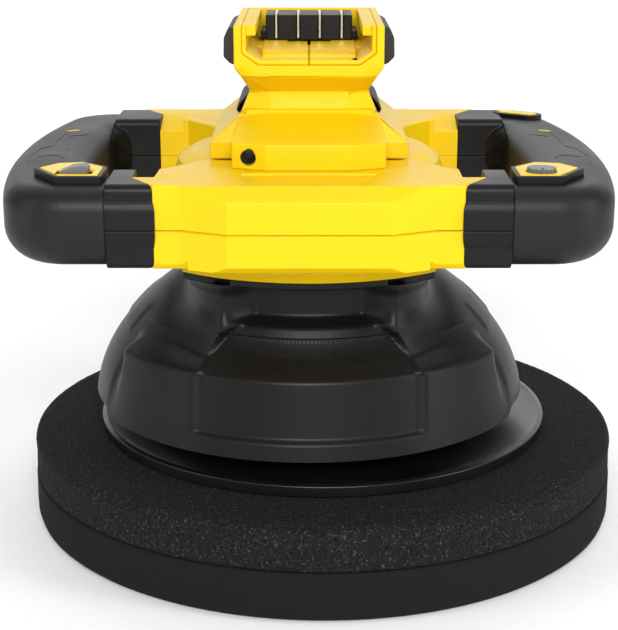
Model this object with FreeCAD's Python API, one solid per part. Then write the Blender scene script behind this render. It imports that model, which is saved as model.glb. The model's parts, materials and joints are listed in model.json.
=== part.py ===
"""Cordless random-orbit polisher, built as an assembly of separate pieces. Units are millimetres.

The frame's origin is on the tool's drive axis, in the plane of the foam pad's lower face.
+Z is up along the drive axis, -Y is the side the battery slides in from,
and X runs from handle to handle.
Each node is one physical piece, or one group of identical pieces, and is written to parts/NODE.step.
"""

import FreeCAD, Part
import math
import os

V = FreeCAD.Vector
Z_AXIS = V(0, 0, 1)

# ---------------------------------------------------------------- driving dimensions: pad and orbit
PAD_DIAMETER = 254.0
PAD_CORE_THICKNESS = 18.0
PAD_FACE_THICKNESS = 21.0
PAD_EDGE_ROUND = 2.0
ORBIT_OFFSET = 6.0
HOOK_DISC_THICKNESS = 1.0
PLATE_DIAMETER = 195.0
PLATE_SHEET = 3.5
PLATE_HUB_RISE = 9.0
SPINDLE_DIAMETER = 12.0
PAD_SCREW_DIAMETER = 6.0
SCREW_POCKET_RADIUS = 8.5

# bearings as (bore diameter, outer diameter, width)
SPINDLE_BEARING = (12.0, 28.0, 8.0)
OUTPUT_BEARING = (10.0, 26.0, 7.0)
MOTOR_BEARING = (5.0, 16.0, 4.0)
RUNNING_CLEARANCE = 0.03
SIDE_CLEARANCE = 0.4

# ---------------------------------------------------------------- driving dimensions: planetary gears
GEAR_MODULE = 1.0
SUN_TEETH = 12
PLANET_TEETH = 15
RING_TEETH = SUN_TEETH + 2 * PLANET_TEETH
PLANET_COUNT = 3
GEAR_FACE = 8.0
TOOTH_BACKLASH = 0.16
RING_WALL = 3.2

# ---------------------------------------------------------------- driving dimensions: motor
MOTOR_DIAMETER = 44.0
MOTOR_LENGTH = 49.0
MOTOR_CAN_WALL = 1.5
MOTOR_SHAFT_DIAMETER = 5.0
AIR_GAP = 0.7

# ---------------------------------------------------------------- driving dimensions: dome
DOME_FOOT_Z = 52.0
DOME_FOOT_RADIUS = 93.0
SHOULDER_Z = 82.0
SHOULDER_RADIUS = 88.0
DOME_CENTRE_Z = 45.0
DOME_RISE = 76.0
DOME_WALL = 3.0
NECK_HALF_X = 48.0
NECK_HALF_Y = 66.0
NECK_TOP_Z = 115.0
DECK_TOP_Z = 108.0
DECK_THICKNESS = 3.0
FLANGE_RADIUS = 77.0
FLANGE_HALF_X = 50.0
PANEL_HALF_ANGLE = 28.0
PANEL_DEPTH = 1.6

# ---------------------------------------------------------------- driving dimensions: body shells
BODY_FOOT_Z = 119.5
BAR_FOOT_Z = 129.0
PARTING_Z = 144.0
BODY_TOP_Z = 161.0
BODY_WALL = 2.6
DRUM_RADIUS = 60.0
BAR_OUTER_Y = 93.0
BAR_INNER_Y = 60.0
BULGE_Y = 101.0
BULGE_HALF_X = 30.0
BAR_HALF_X = 47.5
FRONT_JOINT_X = 57.5
REAR_JOINT_X = 78.5
JOINT_SLANT = 0.6
JOINT_STEP_Y = 77.5

# ---------------------------------------------------------------- driving dimensions: handles
HANDLE_HALF_WIDTH = 124.0
HANDLE_OUTER_Y = 95.5
HANDLE_SIDE_RADIUS = 370.0
HANDLE_CORNER_RADIUS = 25.0
HANDLE_INNER_CORNER = 16.0
HANDLE_TUBE = 33.0
HANDLE_TOP_Z = 159.4
HANDLE_FOOT_Z = 128.6
HANDLE_TOP_ROUND = 9.0
HANDLE_FOOT_ROUND = 14.0
HANDLE_WALL = 2.4
GRIP_SKIN = 1.2
COLLAR_FRONT_X = 75.5
COLLAR_REAR_X = 90.0

# ---------------------------------------------------------------- driving dimensions: battery tower
TOWER_BASE_TOP_Z = 171.0
NECK_LOW_Z = 179.0
NECK_HIGH_Z = 187.0
HEAD_FOOT_Z = 194.0
HEAD_TOP_Z = 214.0
HEAD_HALF_X = 29.5
HEAD_FRONT_Y = -43.0
HEAD_BACK_Y = 40.0
BAY_HALF_X = 26.5
BAY_FLOOR_Z = 198.5
RAIL_WIDTH = 5.5
RAIL_HEIGHT = 4.5
BLADE_PITCH = 8.8
BLADE_COUNT = 4

# ---------------------------------------------------------------- driving dimensions: fastening
TONGUE_TIP_X = 54.0
TONGUE_HALF_WIDTH = 9.0
TONGUE_HALF_HEIGHT = 8.0
TONGUE_CLEARANCE = 0.1
ARM_END_WALL = 3.5
ARM_SCREW_X = 60.0
SCREW_DIAMETER = 4.0
SCREW_HEAD_DIAMETER = 7.6
SCREW_FIT = 0.05

parts = {}


# ---------------------------------------------------------------- small shape helpers
def disc(radius, z_low, z_high, x=0.0, y=0.0):
    return Part.makeCylinder(radius, z_high - z_low, V(x, y, z_low))


def ring(outer, inner, z_low, z_high, x=0.0, y=0.0):
    return disc(outer, z_low, z_high, x, y).cut(disc(inner, z_low - 1, z_high + 1, x, y))


def block(x0, x1, y0, y1, z0, z1):
    return Part.makeBox(x1 - x0, y1 - y0, z1 - z0, V(x0, y0, z0))


def closed_wire(points):
    return Part.makePolygon([*points, points[0]])


def prism(outline, z_low, z_high):
    """A plan outline of (x, y) corners, extruded upwards."""
    face = Part.Face(closed_wire([V(x, y, z_low) for x, y in outline]))
    return face.extrude(V(0, 0, z_high - z_low))


def front_prism(outline, y_low, y_high):
    """A front-view outline of (x, z) corners, extruded from front to back."""
    face = Part.Face(closed_wire([V(x, y_low, z) for x, z in outline]))
    return face.extrude(V(0, y_high - y_low, 0))


def side_prism(outline, x_low, x_high):
    """A side-view outline of (y, z) corners, extruded along X."""
    face = Part.Face(closed_wire([V(x_low, y, z) for y, z in outline]))
    return face.extrude(V(x_high - x_low, 0, 0))


def turned(profile, x=0.0):
    """A (radius, z) outline turned about the vertical axis at x."""
    face = Part.Face(closed_wire([V(x + r, 0, z) for r, z in profile]))
    return face.revolve(V(x, 0, 0), Z_AXIS, 360)


def faceted(sections):
    """Straight-sided loft through (z, outline) sections with equal corner counts."""
    wires = [closed_wire([V(x, y, z) for x, y in outline]) for z, outline in sections]
    return Part.makeLoft(wires, True, True)


def both_sides(half):
    """Completes a list of right-hand corners, given from front to back, with their mirror images."""
    return [*half, *[(-x, y) for x, y in reversed(half)]]


def mirrored(shape):
    return shape.mirror(V(0, 0, 0), V(1, 0, 0))


def turned_copy(shape, degrees):
    copy = shape.copy()
    copy.rotate(V(0, 0, 0), Z_AXIS, degrees)
    return copy


def rounded(shape, radius, choose):
    """Fillets the edges that choose accepts."""
    edges = [e for e in shape.Edges if choose(e)]
    return shape.makeFillet(radius, edges)


def joined(first, *others):
    shape = first.multiFuse(list(others)) if others else first
    return shape.removeSplitter()


def keep(name, *solids):
    """Stores a node as its separate closed solids."""
    found = [s for shape in solids for s in shape.Solids]
    parts[name] = Part.makeCompound(found) if len(found) > 1 else found[0]
    return parts[name]


def screw(length, head_z, x, y, up=True, diameter=SCREW_DIAMETER, head=SCREW_HEAD_DIAMETER):
    """A pan-head screw with a cross recess. Its head starts at head_z and its shank runs up or down."""
    head_height = 0.6 * diameter
    recess = 0.5 * head_height
    shank = disc(diameter / 2, 0, length + head_height)
    cap = disc(head / 2, 0, head_height)
    body = shank.fuse(cap).removeSplitter()
    arm = block(-0.3 * head, 0.3 * head, -0.08 * head, 0.08 * head, -1, recess)
    body = body.cut(arm).cut(turned_copy(arm, 90))
    if not up:
        body.rotate(V(0, 0, 0), V(1, 0, 0), 180)
    body.translate(V(x, y, head_z))
    return body


def bearing(size, z_low, x=0.0):
    """A shielded ball bearing as an inner ring, an outer ring and the shield between them."""
    bore, outer, width = size
    wall = 0.2 * (outer - bore)
    inner_edge = bore / 2 + RUNNING_CLEARANCE
    inner = ring(bore / 2 + wall, inner_edge, z_low, z_low + width, x)
    race = ring(outer / 2, outer / 2 - wall, z_low, z_low + width, x)
    shield = ring(outer / 2 - wall, bore / 2 + wall, z_low + 0.5, z_low + width - 0.5, x)
    return inner, race, shield


# ---------------------------------------------------------------- gears
def involute_corners(teeth, addendum, dedendum, backlash):
    """Corner points of an involute gear outline, one tooth centred on the +X direction."""
    pitch = GEAR_MODULE * teeth / 2
    pressure = math.radians(20)
    base = pitch * math.cos(pressure)
    tip = pitch + addendum
    root = pitch - dedendum
    half = math.pi / (2 * teeth) - backlash / (2 * pitch)
    at_pitch = math.tan(pressure) - pressure
    start = max(base, root)
    flank = []
    steps = 5
    for i in range(steps + 1):
        r = start + (tip - start) * i / steps
        roll = math.acos(min(1.0, base / r))
        flank.append((r, half + at_pitch - (math.tan(roll) - roll)))
    if root < start:
        flank.insert(0, (root, flank[0][1] + 0.02))
    corners = []
    for t in range(teeth):
        centre = 2 * math.pi * t / teeth
        for r, a in flank:
            corners.append((r * math.cos(centre - a), r * math.sin(centre - a)))
        for r, a in reversed(flank):
            corners.append((r * math.cos(centre + a), r * math.sin(centre + a)))
    return corners


def outside_gear(teeth, z_low, z_high):
    outline = involute_corners(teeth, 0.85 * GEAR_MODULE, 1.2 * GEAR_MODULE, TOOTH_BACKLASH)
    return prism(outline, z_low, z_high)


def inside_gear(teeth, wall, z_low, z_high):
    gap = involute_corners(teeth, 1.2 * GEAR_MODULE, 0.75 * GEAR_MODULE, -TOOTH_BACKLASH)
    outer = GEAR_MODULE * teeth / 2 + 1.2 * GEAR_MODULE + wall
    return disc(outer, z_low, z_high).cut(prism(gap, z_low - 1, z_high + 1))


# ---------------------------------------------------------------- heights of the drive stack
PAD_TOP = PAD_FACE_THICKNESS + PAD_CORE_THICKNESS
PLATE_LOW = PAD_TOP + HOOK_DISC_THICKNESS
PLATE_HUB_TOP = PLATE_LOW + PLATE_HUB_RISE
SPINDLE_FLANGE = 3.0
LOWER_BEARING_Z = PLATE_HUB_TOP + SPINDLE_FLANGE + 1.0
UPPER_BEARING_Z = LOWER_BEARING_Z + SPINDLE_BEARING[2] + 2.0
SPINDLE_TOP = UPPER_BEARING_Z + SPINDLE_BEARING[2] + 2.2
HUB_WEB_Z = SPINDLE_TOP + 1.5
HUB_WEB = 3.0
BOSS_TOP = HUB_WEB_Z + HUB_WEB + 9.0
OUTPUT_LOW_Z = BOSS_TOP + SIDE_CLEARANCE
OUTPUT_HIGH_Z = OUTPUT_LOW_Z + OUTPUT_BEARING[2] + 0.2
CARRIER_Z = OUTPUT_HIGH_Z + OUTPUT_BEARING[2] + SIDE_CLEARANCE
CARRIER_THICKNESS = 4.0
GEAR_Z = CARRIER_Z + CARRIER_THICKNESS + 0.5
RING_Z = GEAR_Z - 0.3
RING_TOP = GEAR_Z + GEAR_FACE + 0.8
MOUNT_PLATE = 1.6
MOTOR_Z = RING_TOP + MOUNT_PLATE
MOTOR_TOP = MOTOR_Z + MOTOR_LENGTH
PITCH_CENTRES = GEAR_MODULE * (SUN_TEETH + PLANET_TEETH) / 2
RING_OUTER = GEAR_MODULE * RING_TEETH / 2 + 1.2 * GEAR_MODULE + RING_WALL
CASE_WALL = 3.0
CASE_FLANGE_RADIUS = RING_OUTER + CASE_WALL + 13.0
CASE_SCREW_RADIUS = CASE_FLANGE_RADIUS - 5.5
DOME_SCREW_RADIUS = CASE_FLANGE_RADIUS + 6.0


# ---------------------------------------------------------------- pad assembly
def make_pad():
    x = ORBIT_OFFSET
    radius = PAD_DIAMETER / 2
    face = disc(radius, 0, PAD_FACE_THICKNESS, x)
    keep("pad_face_foam", rounded(face, PAD_EDGE_ROUND, lambda e: e.BoundBox.ZMax < 0.01))
    core = disc(radius, PAD_FACE_THICKNESS, PAD_TOP, x)
    keep("pad_core_foam", rounded(core, PAD_EDGE_ROUND, lambda e: e.BoundBox.ZMin > PAD_TOP - 0.01))
    keep("hook_disc", ring(PLATE_DIAMETER / 2 - 3.0, SCREW_POCKET_RADIUS, PAD_TOP, PLATE_LOW, x))


def make_backing_plate():
    x = ORBIT_OFFSET
    rim = PLATE_DIAMETER / 2
    sheet_top = PLATE_LOW + PLATE_SHEET
    hole = PAD_SCREW_DIAMETER / 2 + SCREW_FIT
    pocket = SCREW_POCKET_RADIUS
    pocket_top = PLATE_LOW + 4.6
    profile = [
        (hole, pocket_top), (pocket, pocket_top), (pocket, PLATE_LOW), (rim - 2.6, PLATE_LOW),
        (rim - 2.6, PAD_TOP + 0.3), (rim, PAD_TOP + 0.3), (rim, sheet_top), (rim - 2.0,
            sheet_top + 0.6),
        (rim - 5.0, sheet_top - 0.4), (rim - 16.0, sheet_top), (rim - 42.0, sheet_top + 2.6),
        (26.0, PLATE_HUB_TOP - 1.6), (18.0, PLATE_HUB_TOP), (hole, PLATE_HUB_TOP),
    ]
    keep("backing_plate", turned(profile, x))
    washer_low = pocket_top - 1.2
    keep("pad_screw_washer", ring(pocket - 0.6, hole, washer_low, pocket_top, x))
    bolt = screw(PLATE_HUB_TOP - washer_low + 12.0, 0, 0, 0, True, PAD_SCREW_DIAMETER, 11.0)
    bolt.translate(V(x, 0, washer_low - 0.6 * PAD_SCREW_DIAMETER))
    keep("pad_screw", bolt)


def make_spindle():
    x = ORBIT_OFFSET
    radius = SPINDLE_DIAMETER / 2
    flange_top = PLATE_HUB_TOP + SPINDLE_FLANGE
    groove_low = UPPER_BEARING_Z + SPINDLE_BEARING[2] + 0.1
    groove_high = groove_low + 1.0
    shaft = joined(
        disc(radius + 4.5, PLATE_HUB_TOP, flange_top, x),
        disc(radius + 1.6, flange_top, LOWER_BEARING_Z, x),
        disc(radius, LOWER_BEARING_Z, SPINDLE_TOP, x),
    )
    tapped = disc(PAD_SCREW_DIAMETER / 2 + SCREW_FIT, PLATE_HUB_TOP - 1, PLATE_HUB_TOP + 14, x)
    shaft = shaft.cut(tapped).cut(ring(radius + 2, radius - 0.6, groove_low, groove_high, x))
    keep("pad_spindle", shaft)
    clip = ring(radius + 2.2, radius - 0.55, groove_low, groove_high, x)
    keep("spindle_clip", clip.cut(block(x, x + 20, -1.5, 1.5, groove_low - 1, groove_high + 1)))


# ---------------------------------------------------------------- eccentric drive
def make_counterweight():
    x = ORBIT_OFFSET
    seat = SPINDLE_BEARING[1] / 2
    hub_low = LOWER_BEARING_Z - 0.4
    bearing_top = UPPER_BEARING_Z + SPINDLE_BEARING[2]
    boss = disc(11.5, HUB_WEB_Z, BOSS_TOP)
    hub = disc(seat + 5.0, hub_low, HUB_WEB_Z + HUB_WEB, x)
    weight_outer, weight_half_angle = 62.0, 62.0
    weight = Part.makeCylinder(
        weight_outer, 13.0, V(0, 0, hub_low + 1.0), Z_AXIS, 2 * weight_half_angle
    )
    weight.rotate(V(0, 0, 0), Z_AXIS, 180 - weight_half_angle)
    weight = weight.cut(disc(seat + 2, hub_low - 1, BOSS_TOP, x))
    body = joined(hub, boss, weight)
    body = body.cut(disc(seat, hub_low - 1, bearing_top, x))
    body = body.cut(disc(seat - 3.5, bearing_top - 0.1, HUB_WEB_Z, x))
    body = body.cut(disc(OUTPUT_BEARING[0] / 2, HUB_WEB_Z + 1.2, BOSS_TOP + 1))
    grub_z = BOSS_TOP - 4.0
    grub = Part.makeCylinder(2.0, 6.5, V(OUTPUT_BEARING[0] / 2, 0, grub_z), V(1, 0, 0))
    socket = Part.makeCylinder(1.1, 2.0, V(9.6, 0, grub_z), V(1, 0, 0))
    body = body.cut(Part.makeCylinder(2.0, 10, V(OUTPUT_BEARING[0] / 2 - 1, 0, grub_z), V(1, 0, 0)))
    keep("counterweight", body)
    keep("hub_grub_screw", grub.cut(socket))
    lower = bearing(SPINDLE_BEARING, LOWER_BEARING_Z, x)
    keep("spindle_bearings", *lower, *bearing(SPINDLE_BEARING, UPPER_BEARING_Z, x))


def planet_places():
    for i in range(PLANET_COUNT):
        angle = 90 + 360 / PLANET_COUNT * i
        a = math.radians(angle)
        yield i + 1, angle, PITCH_CENTRES * math.cos(a), PITCH_CENTRES * math.sin(a)


def make_gear_train():
    pin = 2.0
    shaft = disc(OUTPUT_BEARING[0] / 2, HUB_WEB_Z + 1.4, CARRIER_Z)
    plate = disc(PITCH_CENTRES + 6.5, CARRIER_Z, CARRIER_Z + CARRIER_THICKNESS)
    carrier = joined(shaft, plate)
    pins = []
    for number, angle, x, y in planet_places():
        carrier = carrier.cut(disc(pin, CARRIER_Z - 1, CARRIER_Z + CARRIER_THICKNESS + 1, x, y))
        pins.append(disc(pin, CARRIER_Z, GEAR_Z + GEAR_FACE + 0.3, x, y))
        gear = outside_gear(PLANET_TEETH, GEAR_Z, GEAR_Z + GEAR_FACE)
        gear = gear.cut(disc(pin + RUNNING_CLEARANCE, GEAR_Z - 1, GEAR_Z + GEAR_FACE + 1))
        # the planet's tooth gap faces the sun's tooth, which points along the same direction
        gear.rotate(V(0, 0, 0), Z_AXIS, planet_turn(angle))
        gear.translate(V(x, y, 0))
        keep(f"planet_gear_{number}", gear)
    keep("output_carrier", carrier)
    keep("planet_pins", *pins)
    sun = outside_gear(SUN_TEETH, GEAR_Z - 0.2, RING_TOP - 0.4)
    sun = sun.cut(disc(MOTOR_SHAFT_DIAMETER / 2, GEAR_Z - 2, RING_TOP + 1))
    keep("sun_gear", sun)
    ring_gear = inside_gear(RING_TEETH, RING_WALL, RING_Z, RING_TOP)
    ring_gear.rotate(V(0, 0, 0), Z_AXIS, ring_turn())
    keep("ring_gear", ring_gear)


def planet_turn(angle):
    """The planet's turn that puts a tooth gap where the sun's tooth phase puts a tooth."""
    sun_pitch = 360 / SUN_TEETH
    phase = (angle % sun_pitch) / sun_pitch
    planet_pitch = 360 / PLANET_TEETH
    return angle + 180 + planet_pitch * (0.5 + phase)


def ring_turn():
    """The ring's turn that lines its gaps up with the first planet's teeth."""
    angle = 90.0
    planet_pitch = 360 / PLANET_TEETH
    phase = ((angle - planet_turn(angle)) % planet_pitch) / planet_pitch
    ring_pitch = 360 / RING_TEETH
    return angle - ring_pitch * phase


def make_gear_case():
    seat = OUTPUT_BEARING[1] / 2
    case_low = OUTPUT_LOW_Z
    seat_top = CARRIER_Z - SIDE_CLEARANCE
    inner = RING_OUTER
    outer = inner + CASE_WALL
    flange_low = DECK_TOP_Z
    body = joined(
        ring(seat + 3.5, seat, case_low, seat_top),
        ring(outer, seat, seat_top - 3.0, seat_top),
        ring(outer, inner - 1.5, seat_top - 3.0, RING_Z),
        ring(outer, inner, RING_Z - 0.01, RING_TOP),
        ring(CASE_FLANGE_RADIUS, inner, flange_low, flange_low + 4.0),
    )
    screws = []
    for i in range(4):
        a = math.radians(45 + 90 * i)
        x, y = CASE_SCREW_RADIUS * math.cos(a), CASE_SCREW_RADIUS * math.sin(a)
        body = body.cut(disc(SCREW_DIAMETER / 2 + SCREW_FIT, flange_low - 1, flange_low + 9, x, y))
        screws.append(screw(8.0, flange_low + 4.0 + 0.6 * SCREW_DIAMETER, x, y, up=False))
    for i in range(8):
        rib = block(seat + 3.0, outer - 0.5, -1.1, 1.1, case_low + 2.0, seat_top - 1.0)
        body = body.fuse(turned_copy(rib, 22.5 + 45 * i))
    keep("gear_case", body.removeSplitter())
    keep("gear_case_screws", *screws)
    lower = bearing(OUTPUT_BEARING, OUTPUT_LOW_Z)
    keep("output_bearings", *lower, *bearing(OUTPUT_BEARING, OUTPUT_HIGH_Z))


# ---------------------------------------------------------------- motor
def make_motor():
    radius = MOTOR_DIAMETER / 2
    inside = radius - MOTOR_CAN_WALL
    shaft = MOTOR_SHAFT_DIAMETER / 2
    bell_low = MOTOR_TOP - 5.0
    mount = disc(RING_OUTER + CASE_WALL, RING_TOP, MOTOR_Z)
    mount = mount.cut(disc(GEAR_MODULE * SUN_TEETH / 2 + 2.5, RING_TOP - 1, MOTOR_Z + 1))
    screws = []
    can = disc(radius, MOTOR_Z, bell_low)
    can = can.cut(disc(inside, MOTOR_Z + 1.5, bell_low + 1))
    seat = MOTOR_BEARING[1] / 2
    can = can.cut(disc(shaft + 2.5, MOTOR_Z - 1, MOTOR_Z + 3))
    cup = ring(seat + 1.2, seat, MOTOR_Z + 1.5, MOTOR_Z + 1.5 + MOTOR_BEARING[2])
    can = joined(can, cup)
    for side in (-1, 1):
        x = side * 14.5
        hole = disc(1.5 + SCREW_FIT, RING_TOP - 1, MOTOR_Z + 3, x)
        sink = Part.makeCone(3.05, 1.55, 1.5, V(x, 0, RING_TOP - 0.01))
        mount = mount.cut(hole).cut(sink)
        can = can.cut(hole)
        screws.append(joined(Part.makeCone(2.95, 1.5, 1.45, V(x, 0, RING_TOP)),
            disc(1.5, RING_TOP + 1, MOTOR_Z + 1.4, x)))
        slot = block(x - 6, x + 6, 0, radius + 2, MOTOR_Z + 8, MOTOR_Z + 20)
        can = can.cut(slot if side > 0 else slot.mirror(V(0, 0, 0), V(0, 1, 0)))
    keep("motor_mount_plate", mount)
    keep("motor_screws", *screws)
    keep("motor_can", can)
    stack_low, stack_high = MOTOR_Z + 10.5, MOTOR_Z + 33.0
    magnet_inner = inside - 3.2
    arc = ring(inside, magnet_inner, MOTOR_Z + 7.0, stack_high + 3.5)
    gap = block(-2 * radius, 2 * radius, -7.0, 7.0, MOTOR_Z, MOTOR_TOP)
    keep("motor_magnets", arc.cut(gap))
    core = disc(magnet_inner - AIR_GAP, stack_low, stack_high)
    slots = 5
    for i in range(slots):
        opening = block(7.5, 40, -0.9, 0.9, stack_low - 1, stack_high + 1)
        pocket = block(7.5, magnet_inner - AIR_GAP - 2.4, -2.6, 2.6, stack_low - 1, stack_high + 1)
        core = core.cut(turned_copy(joined(opening, pocket), 360 / slots * i))
    core = core.cut(disc(shaft, stack_low - 1, stack_high + 1))
    keep("armature_core", core)
    ends = []
    for low, high in ((stack_low - 3.6, stack_low), (stack_high, stack_high + 3.6)):
        hank = ring(magnet_inner - AIR_GAP - 2.2, 6.5, low, high)
        ends.append(rounded(hank, 1.2, lambda e: e.Curve.TypeId == "Part::GeomCircle"))
    keep("armature_windings", *ends)
    commutator = ring(6.0, shaft, stack_high + 4.2, bell_low - 0.8)
    for i in range(slots):
        commutator = commutator.cut(turned_copy(block(4.8, 7, -0.25, 0.25, stack_high + 4,
            bell_low), 360 / slots * i))
    keep("commutator", commutator)
    brush_mid = (stack_high + 4.2 + bell_low - 0.8) / 2
    brush = block(6.06, 14.0, -2.5, 2.5, brush_mid - 2.0, brush_mid + 2.0)
    keep("carbon_brushes", brush, mirrored(brush))
    box = block(8.0, inside - 0.3, -3.4, 3.4, brush_mid - 2.9, brush_mid + 2.9)
    box = box.cut(block(7, 17.5, -2.5, 2.5, brush_mid - 2.0, brush_mid + 2.0))
    keep("brush_boxes", box, mirrored(box))
    bell = joined(disc(radius, bell_low, MOTOR_TOP - 1.5),
        disc(seat + 2.0, MOTOR_TOP - 1.6, MOTOR_TOP + 1.0))
    bell = bell.cut(disc(shaft + 1.0, bell_low - 1, MOTOR_TOP + 2))
    bell = bell.cut(disc(seat, bell_low - 1, bell_low + MOTOR_BEARING[2]))
    keep("motor_end_bell", bell)
    front = bearing(MOTOR_BEARING, MOTOR_Z + 1.5)
    keep("motor_bearings", *front, *bearing(MOTOR_BEARING, bell_low))
    keep("motor_shaft", disc(shaft, GEAR_Z, MOTOR_TOP + 0.5))


# ---------------------------------------------------------------- dome
def dome_radius(z, shrink=0.0):
    rise = DOME_RISE - shrink
    return (DOME_FOOT_RADIUS + 0.5 - shrink) * math.sqrt(max(0.0,
        1 - ((z - DOME_CENTRE_Z) / rise) ** 2))


def dome_lobes(z_low, z_high, shrink=0.0):
    steps = 14
    heights = [z_low + (z_high - z_low) * i / steps for i in range(steps + 1)]
    curve = Part.BSplineCurve()
    curve.interpolate([V(dome_radius(z, shrink), 0, z) for z in heights])
    side = curve.toShape()
    first, last = V(dome_radius(z_low, shrink), 0, z_low), V(dome_radius(z_high, shrink), 0, z_high)
    edges = [side, Part.makeLine(last, V(0, 0, z_high)), Part.makeLine(V(0, 0, z_high), V(0, 0, z_low))]
    edges.append(Part.makeLine(V(0, 0, z_low), first))
    return Part.Face(Part.Wire(edges)).revolve(V(0, 0, 0), Z_AXIS, 360)


def neck_column(half_x, half_y, z_low, z_high):
    oval = Part.Ellipse(V(0, 0, z_low), half_y, half_x).toShape()
    face = Part.Face(Part.Wire([oval]))
    face.rotate(V(0, 0, z_low), Z_AXIS, 90)
    return face.extrude(V(0, 0, z_high - z_low))


def front_wedge(half_angle, z_low, z_high):
    """A plan sector about the -Y direction, used to limit a turned shape to the front."""
    reach = 200.0
    a = math.radians(half_angle)
    corners = [(0, 0), (-reach * math.sin(a), -reach * math.cos(a)),
        (reach * math.sin(a), -reach * math.cos(a))]
    return prism(corners, z_low, z_high)


def make_dome():
    band_angle = 50.0
    band = turned([
        (0, DOME_FOOT_Z), (DOME_FOOT_RADIUS, DOME_FOOT_Z), (SHOULDER_RADIUS, SHOULDER_Z),
        (SHOULDER_RADIUS - 16, SHOULDER_Z + 7.5), (0, SHOULDER_Z + 7.5),
    ])
    flare = turned([
        (0, SHOULDER_Z - 4), (SHOULDER_RADIUS - 1.5, SHOULDER_Z - 4), (SHOULDER_RADIUS - 1.5,
            SHOULDER_Z),
        (74.0, 95.5), (NECK_HALF_Y - 4, 100.5), (0, 100.5),
    ])
    front_band = band.common(front_wedge(band_angle, 0, 200))
    front_flare = flare.common(front_wedge(PANEL_HALF_ANGLE, 0, 200))
    outer = dome_lobes(DOME_FOOT_Z, NECK_TOP_Z - 3)
    outer = outer.fuse(neck_column(NECK_HALF_X, NECK_HALF_Y, SHOULDER_Z, NECK_TOP_Z))
    for shape in (front_band, front_flare):
        outer = outer.fuse(shape).fuse(turned_copy(shape, 180))
    flange = disc(FLANGE_RADIUS, NECK_TOP_Z, BODY_FOOT_Z)
    flange = flange.common(block(-FLANGE_HALF_X, FLANGE_HALF_X, -100, 100, 0, 200))
    outer = outer.fuse(flange)
    w = DOME_WALL
    hollow = dome_lobes(DOME_FOOT_Z - 1, DECK_TOP_Z - DECK_THICKNESS, w)
    upper = neck_column(NECK_HALF_X - w, NECK_HALF_Y - w, DECK_TOP_Z, BODY_FOOT_Z + 1)
    body = outer.cut(hollow).cut(upper)
    body = body.cut(disc(RING_OUTER + CASE_WALL + 0.3, 80, 140))
    panel_cut = ring(120, 10, DOME_FOOT_Z + 7, SHOULDER_Z + 9).cut(
        turned([(0, 40), (DOME_FOOT_RADIUS - PANEL_DEPTH + 2.0, 40),
            (SHOULDER_RADIUS - PANEL_DEPTH, SHOULDER_Z),
                (SHOULDER_RADIUS - 12.0, SHOULDER_Z + 9), (0, SHOULDER_Z + 9)]))
    panel_cut = panel_cut.common(front_wedge(PANEL_HALF_ANGLE, 0, 200))
    body = body.cut(panel_cut)
    for i in range(4):
        a = math.radians(45 + 90 * i)
        x, y = CASE_SCREW_RADIUS * math.cos(a), CASE_SCREW_RADIUS * math.sin(a)
        body = body.cut(disc(SCREW_DIAMETER / 2 + SCREW_FIT, 90, DECK_TOP_Z + 1, x, y))
    screws = []
    for x, y in dome_screw_places():
        pad = disc(5.5, DECK_TOP_Z - DECK_THICKNESS, BODY_FOOT_Z, x, y)
        body = body.fuse(pad)
    body = body.removeSplitter()
    for x, y in dome_screw_places():
        body = body.cut(disc(SCREW_DIAMETER / 2 + SCREW_FIT, 80, 140, x, y))
        body = body.cut(disc(SCREW_HEAD_DIAMETER / 2 + 0.3, 80, DECK_TOP_Z - DECK_THICKNESS + 4, x, y))
        screws.append(screw(20.0, DECK_TOP_Z - DECK_THICKNESS + 4 - 0.6 * SCREW_DIAMETER, x, y))
    keep("dome_housing", max(body.Solids, key=lambda s: s.Volume))
    return screws


def dome_screw_places():
    for sx in (-1, 1):
        for sy in (-1, 1):
            yield sx * 18.0, sy * 52.0


# ---------------------------------------------------------------- body shells
def joint_outline(front, shift=0.0):
    """Plan region on the body's side of the stepped joint between a bar and the right handle's arm."""
    joint_x = (FRONT_JOINT_X if front else REAR_JOINT_X) + shift
    slant = JOINT_SLANT if front else -JOINT_SLANT
    step_x = joint_x + slant * (BAR_OUTER_Y - JOINT_STEP_Y)
    far_y = 300.0
    far_x = joint_x - slant * (far_y - BAR_OUTER_Y)
    sign = -1 if front else 1
    return [(-1, 0), (step_x, 0), (step_x, sign * JOINT_STEP_Y), (far_x, sign * far_y),
        (-1, sign * far_y)]


def inside_joints(shape):
    """Trims a right-hand shape to the body's side of both slanted joints."""
    keepers = [prism(joint_outline(front), 100, 240) for front in (True, False)]
    return shape.common(keepers[0].fuse(keepers[1]))


def bar_half(shrink=0.0):
    """Right half of the front bar's plan, before the slanted joint trims it."""
    s = shrink
    return [
        (-1, -BULGE_Y + s), (BULGE_HALF_X, -BULGE_Y + s), (BAR_HALF_X, -BAR_OUTER_Y + s),
        (95, -BAR_OUTER_Y + s), (95, -BAR_INNER_Y - s), (56, -BAR_INNER_Y - s), (43 - s, -42), (-1,
            -42),
    ]


def rear_half(shrink=0.0):
    return [(x, -y) for x, y in reversed(bar_half(shrink))]


def drum(shrink=0.0):
    r, top = DRUM_RADIUS - shrink, BODY_TOP_Z - 0.5 - shrink
    return turned([
        (0, BAR_FOOT_Z - 12), (r, BAR_FOOT_Z - 12), (r, PARTING_Z - 3), (r - 4.5,
            top - 5), (r - 10, top - 1.5),
        (r - 17, top), (0, top),
    ])


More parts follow.
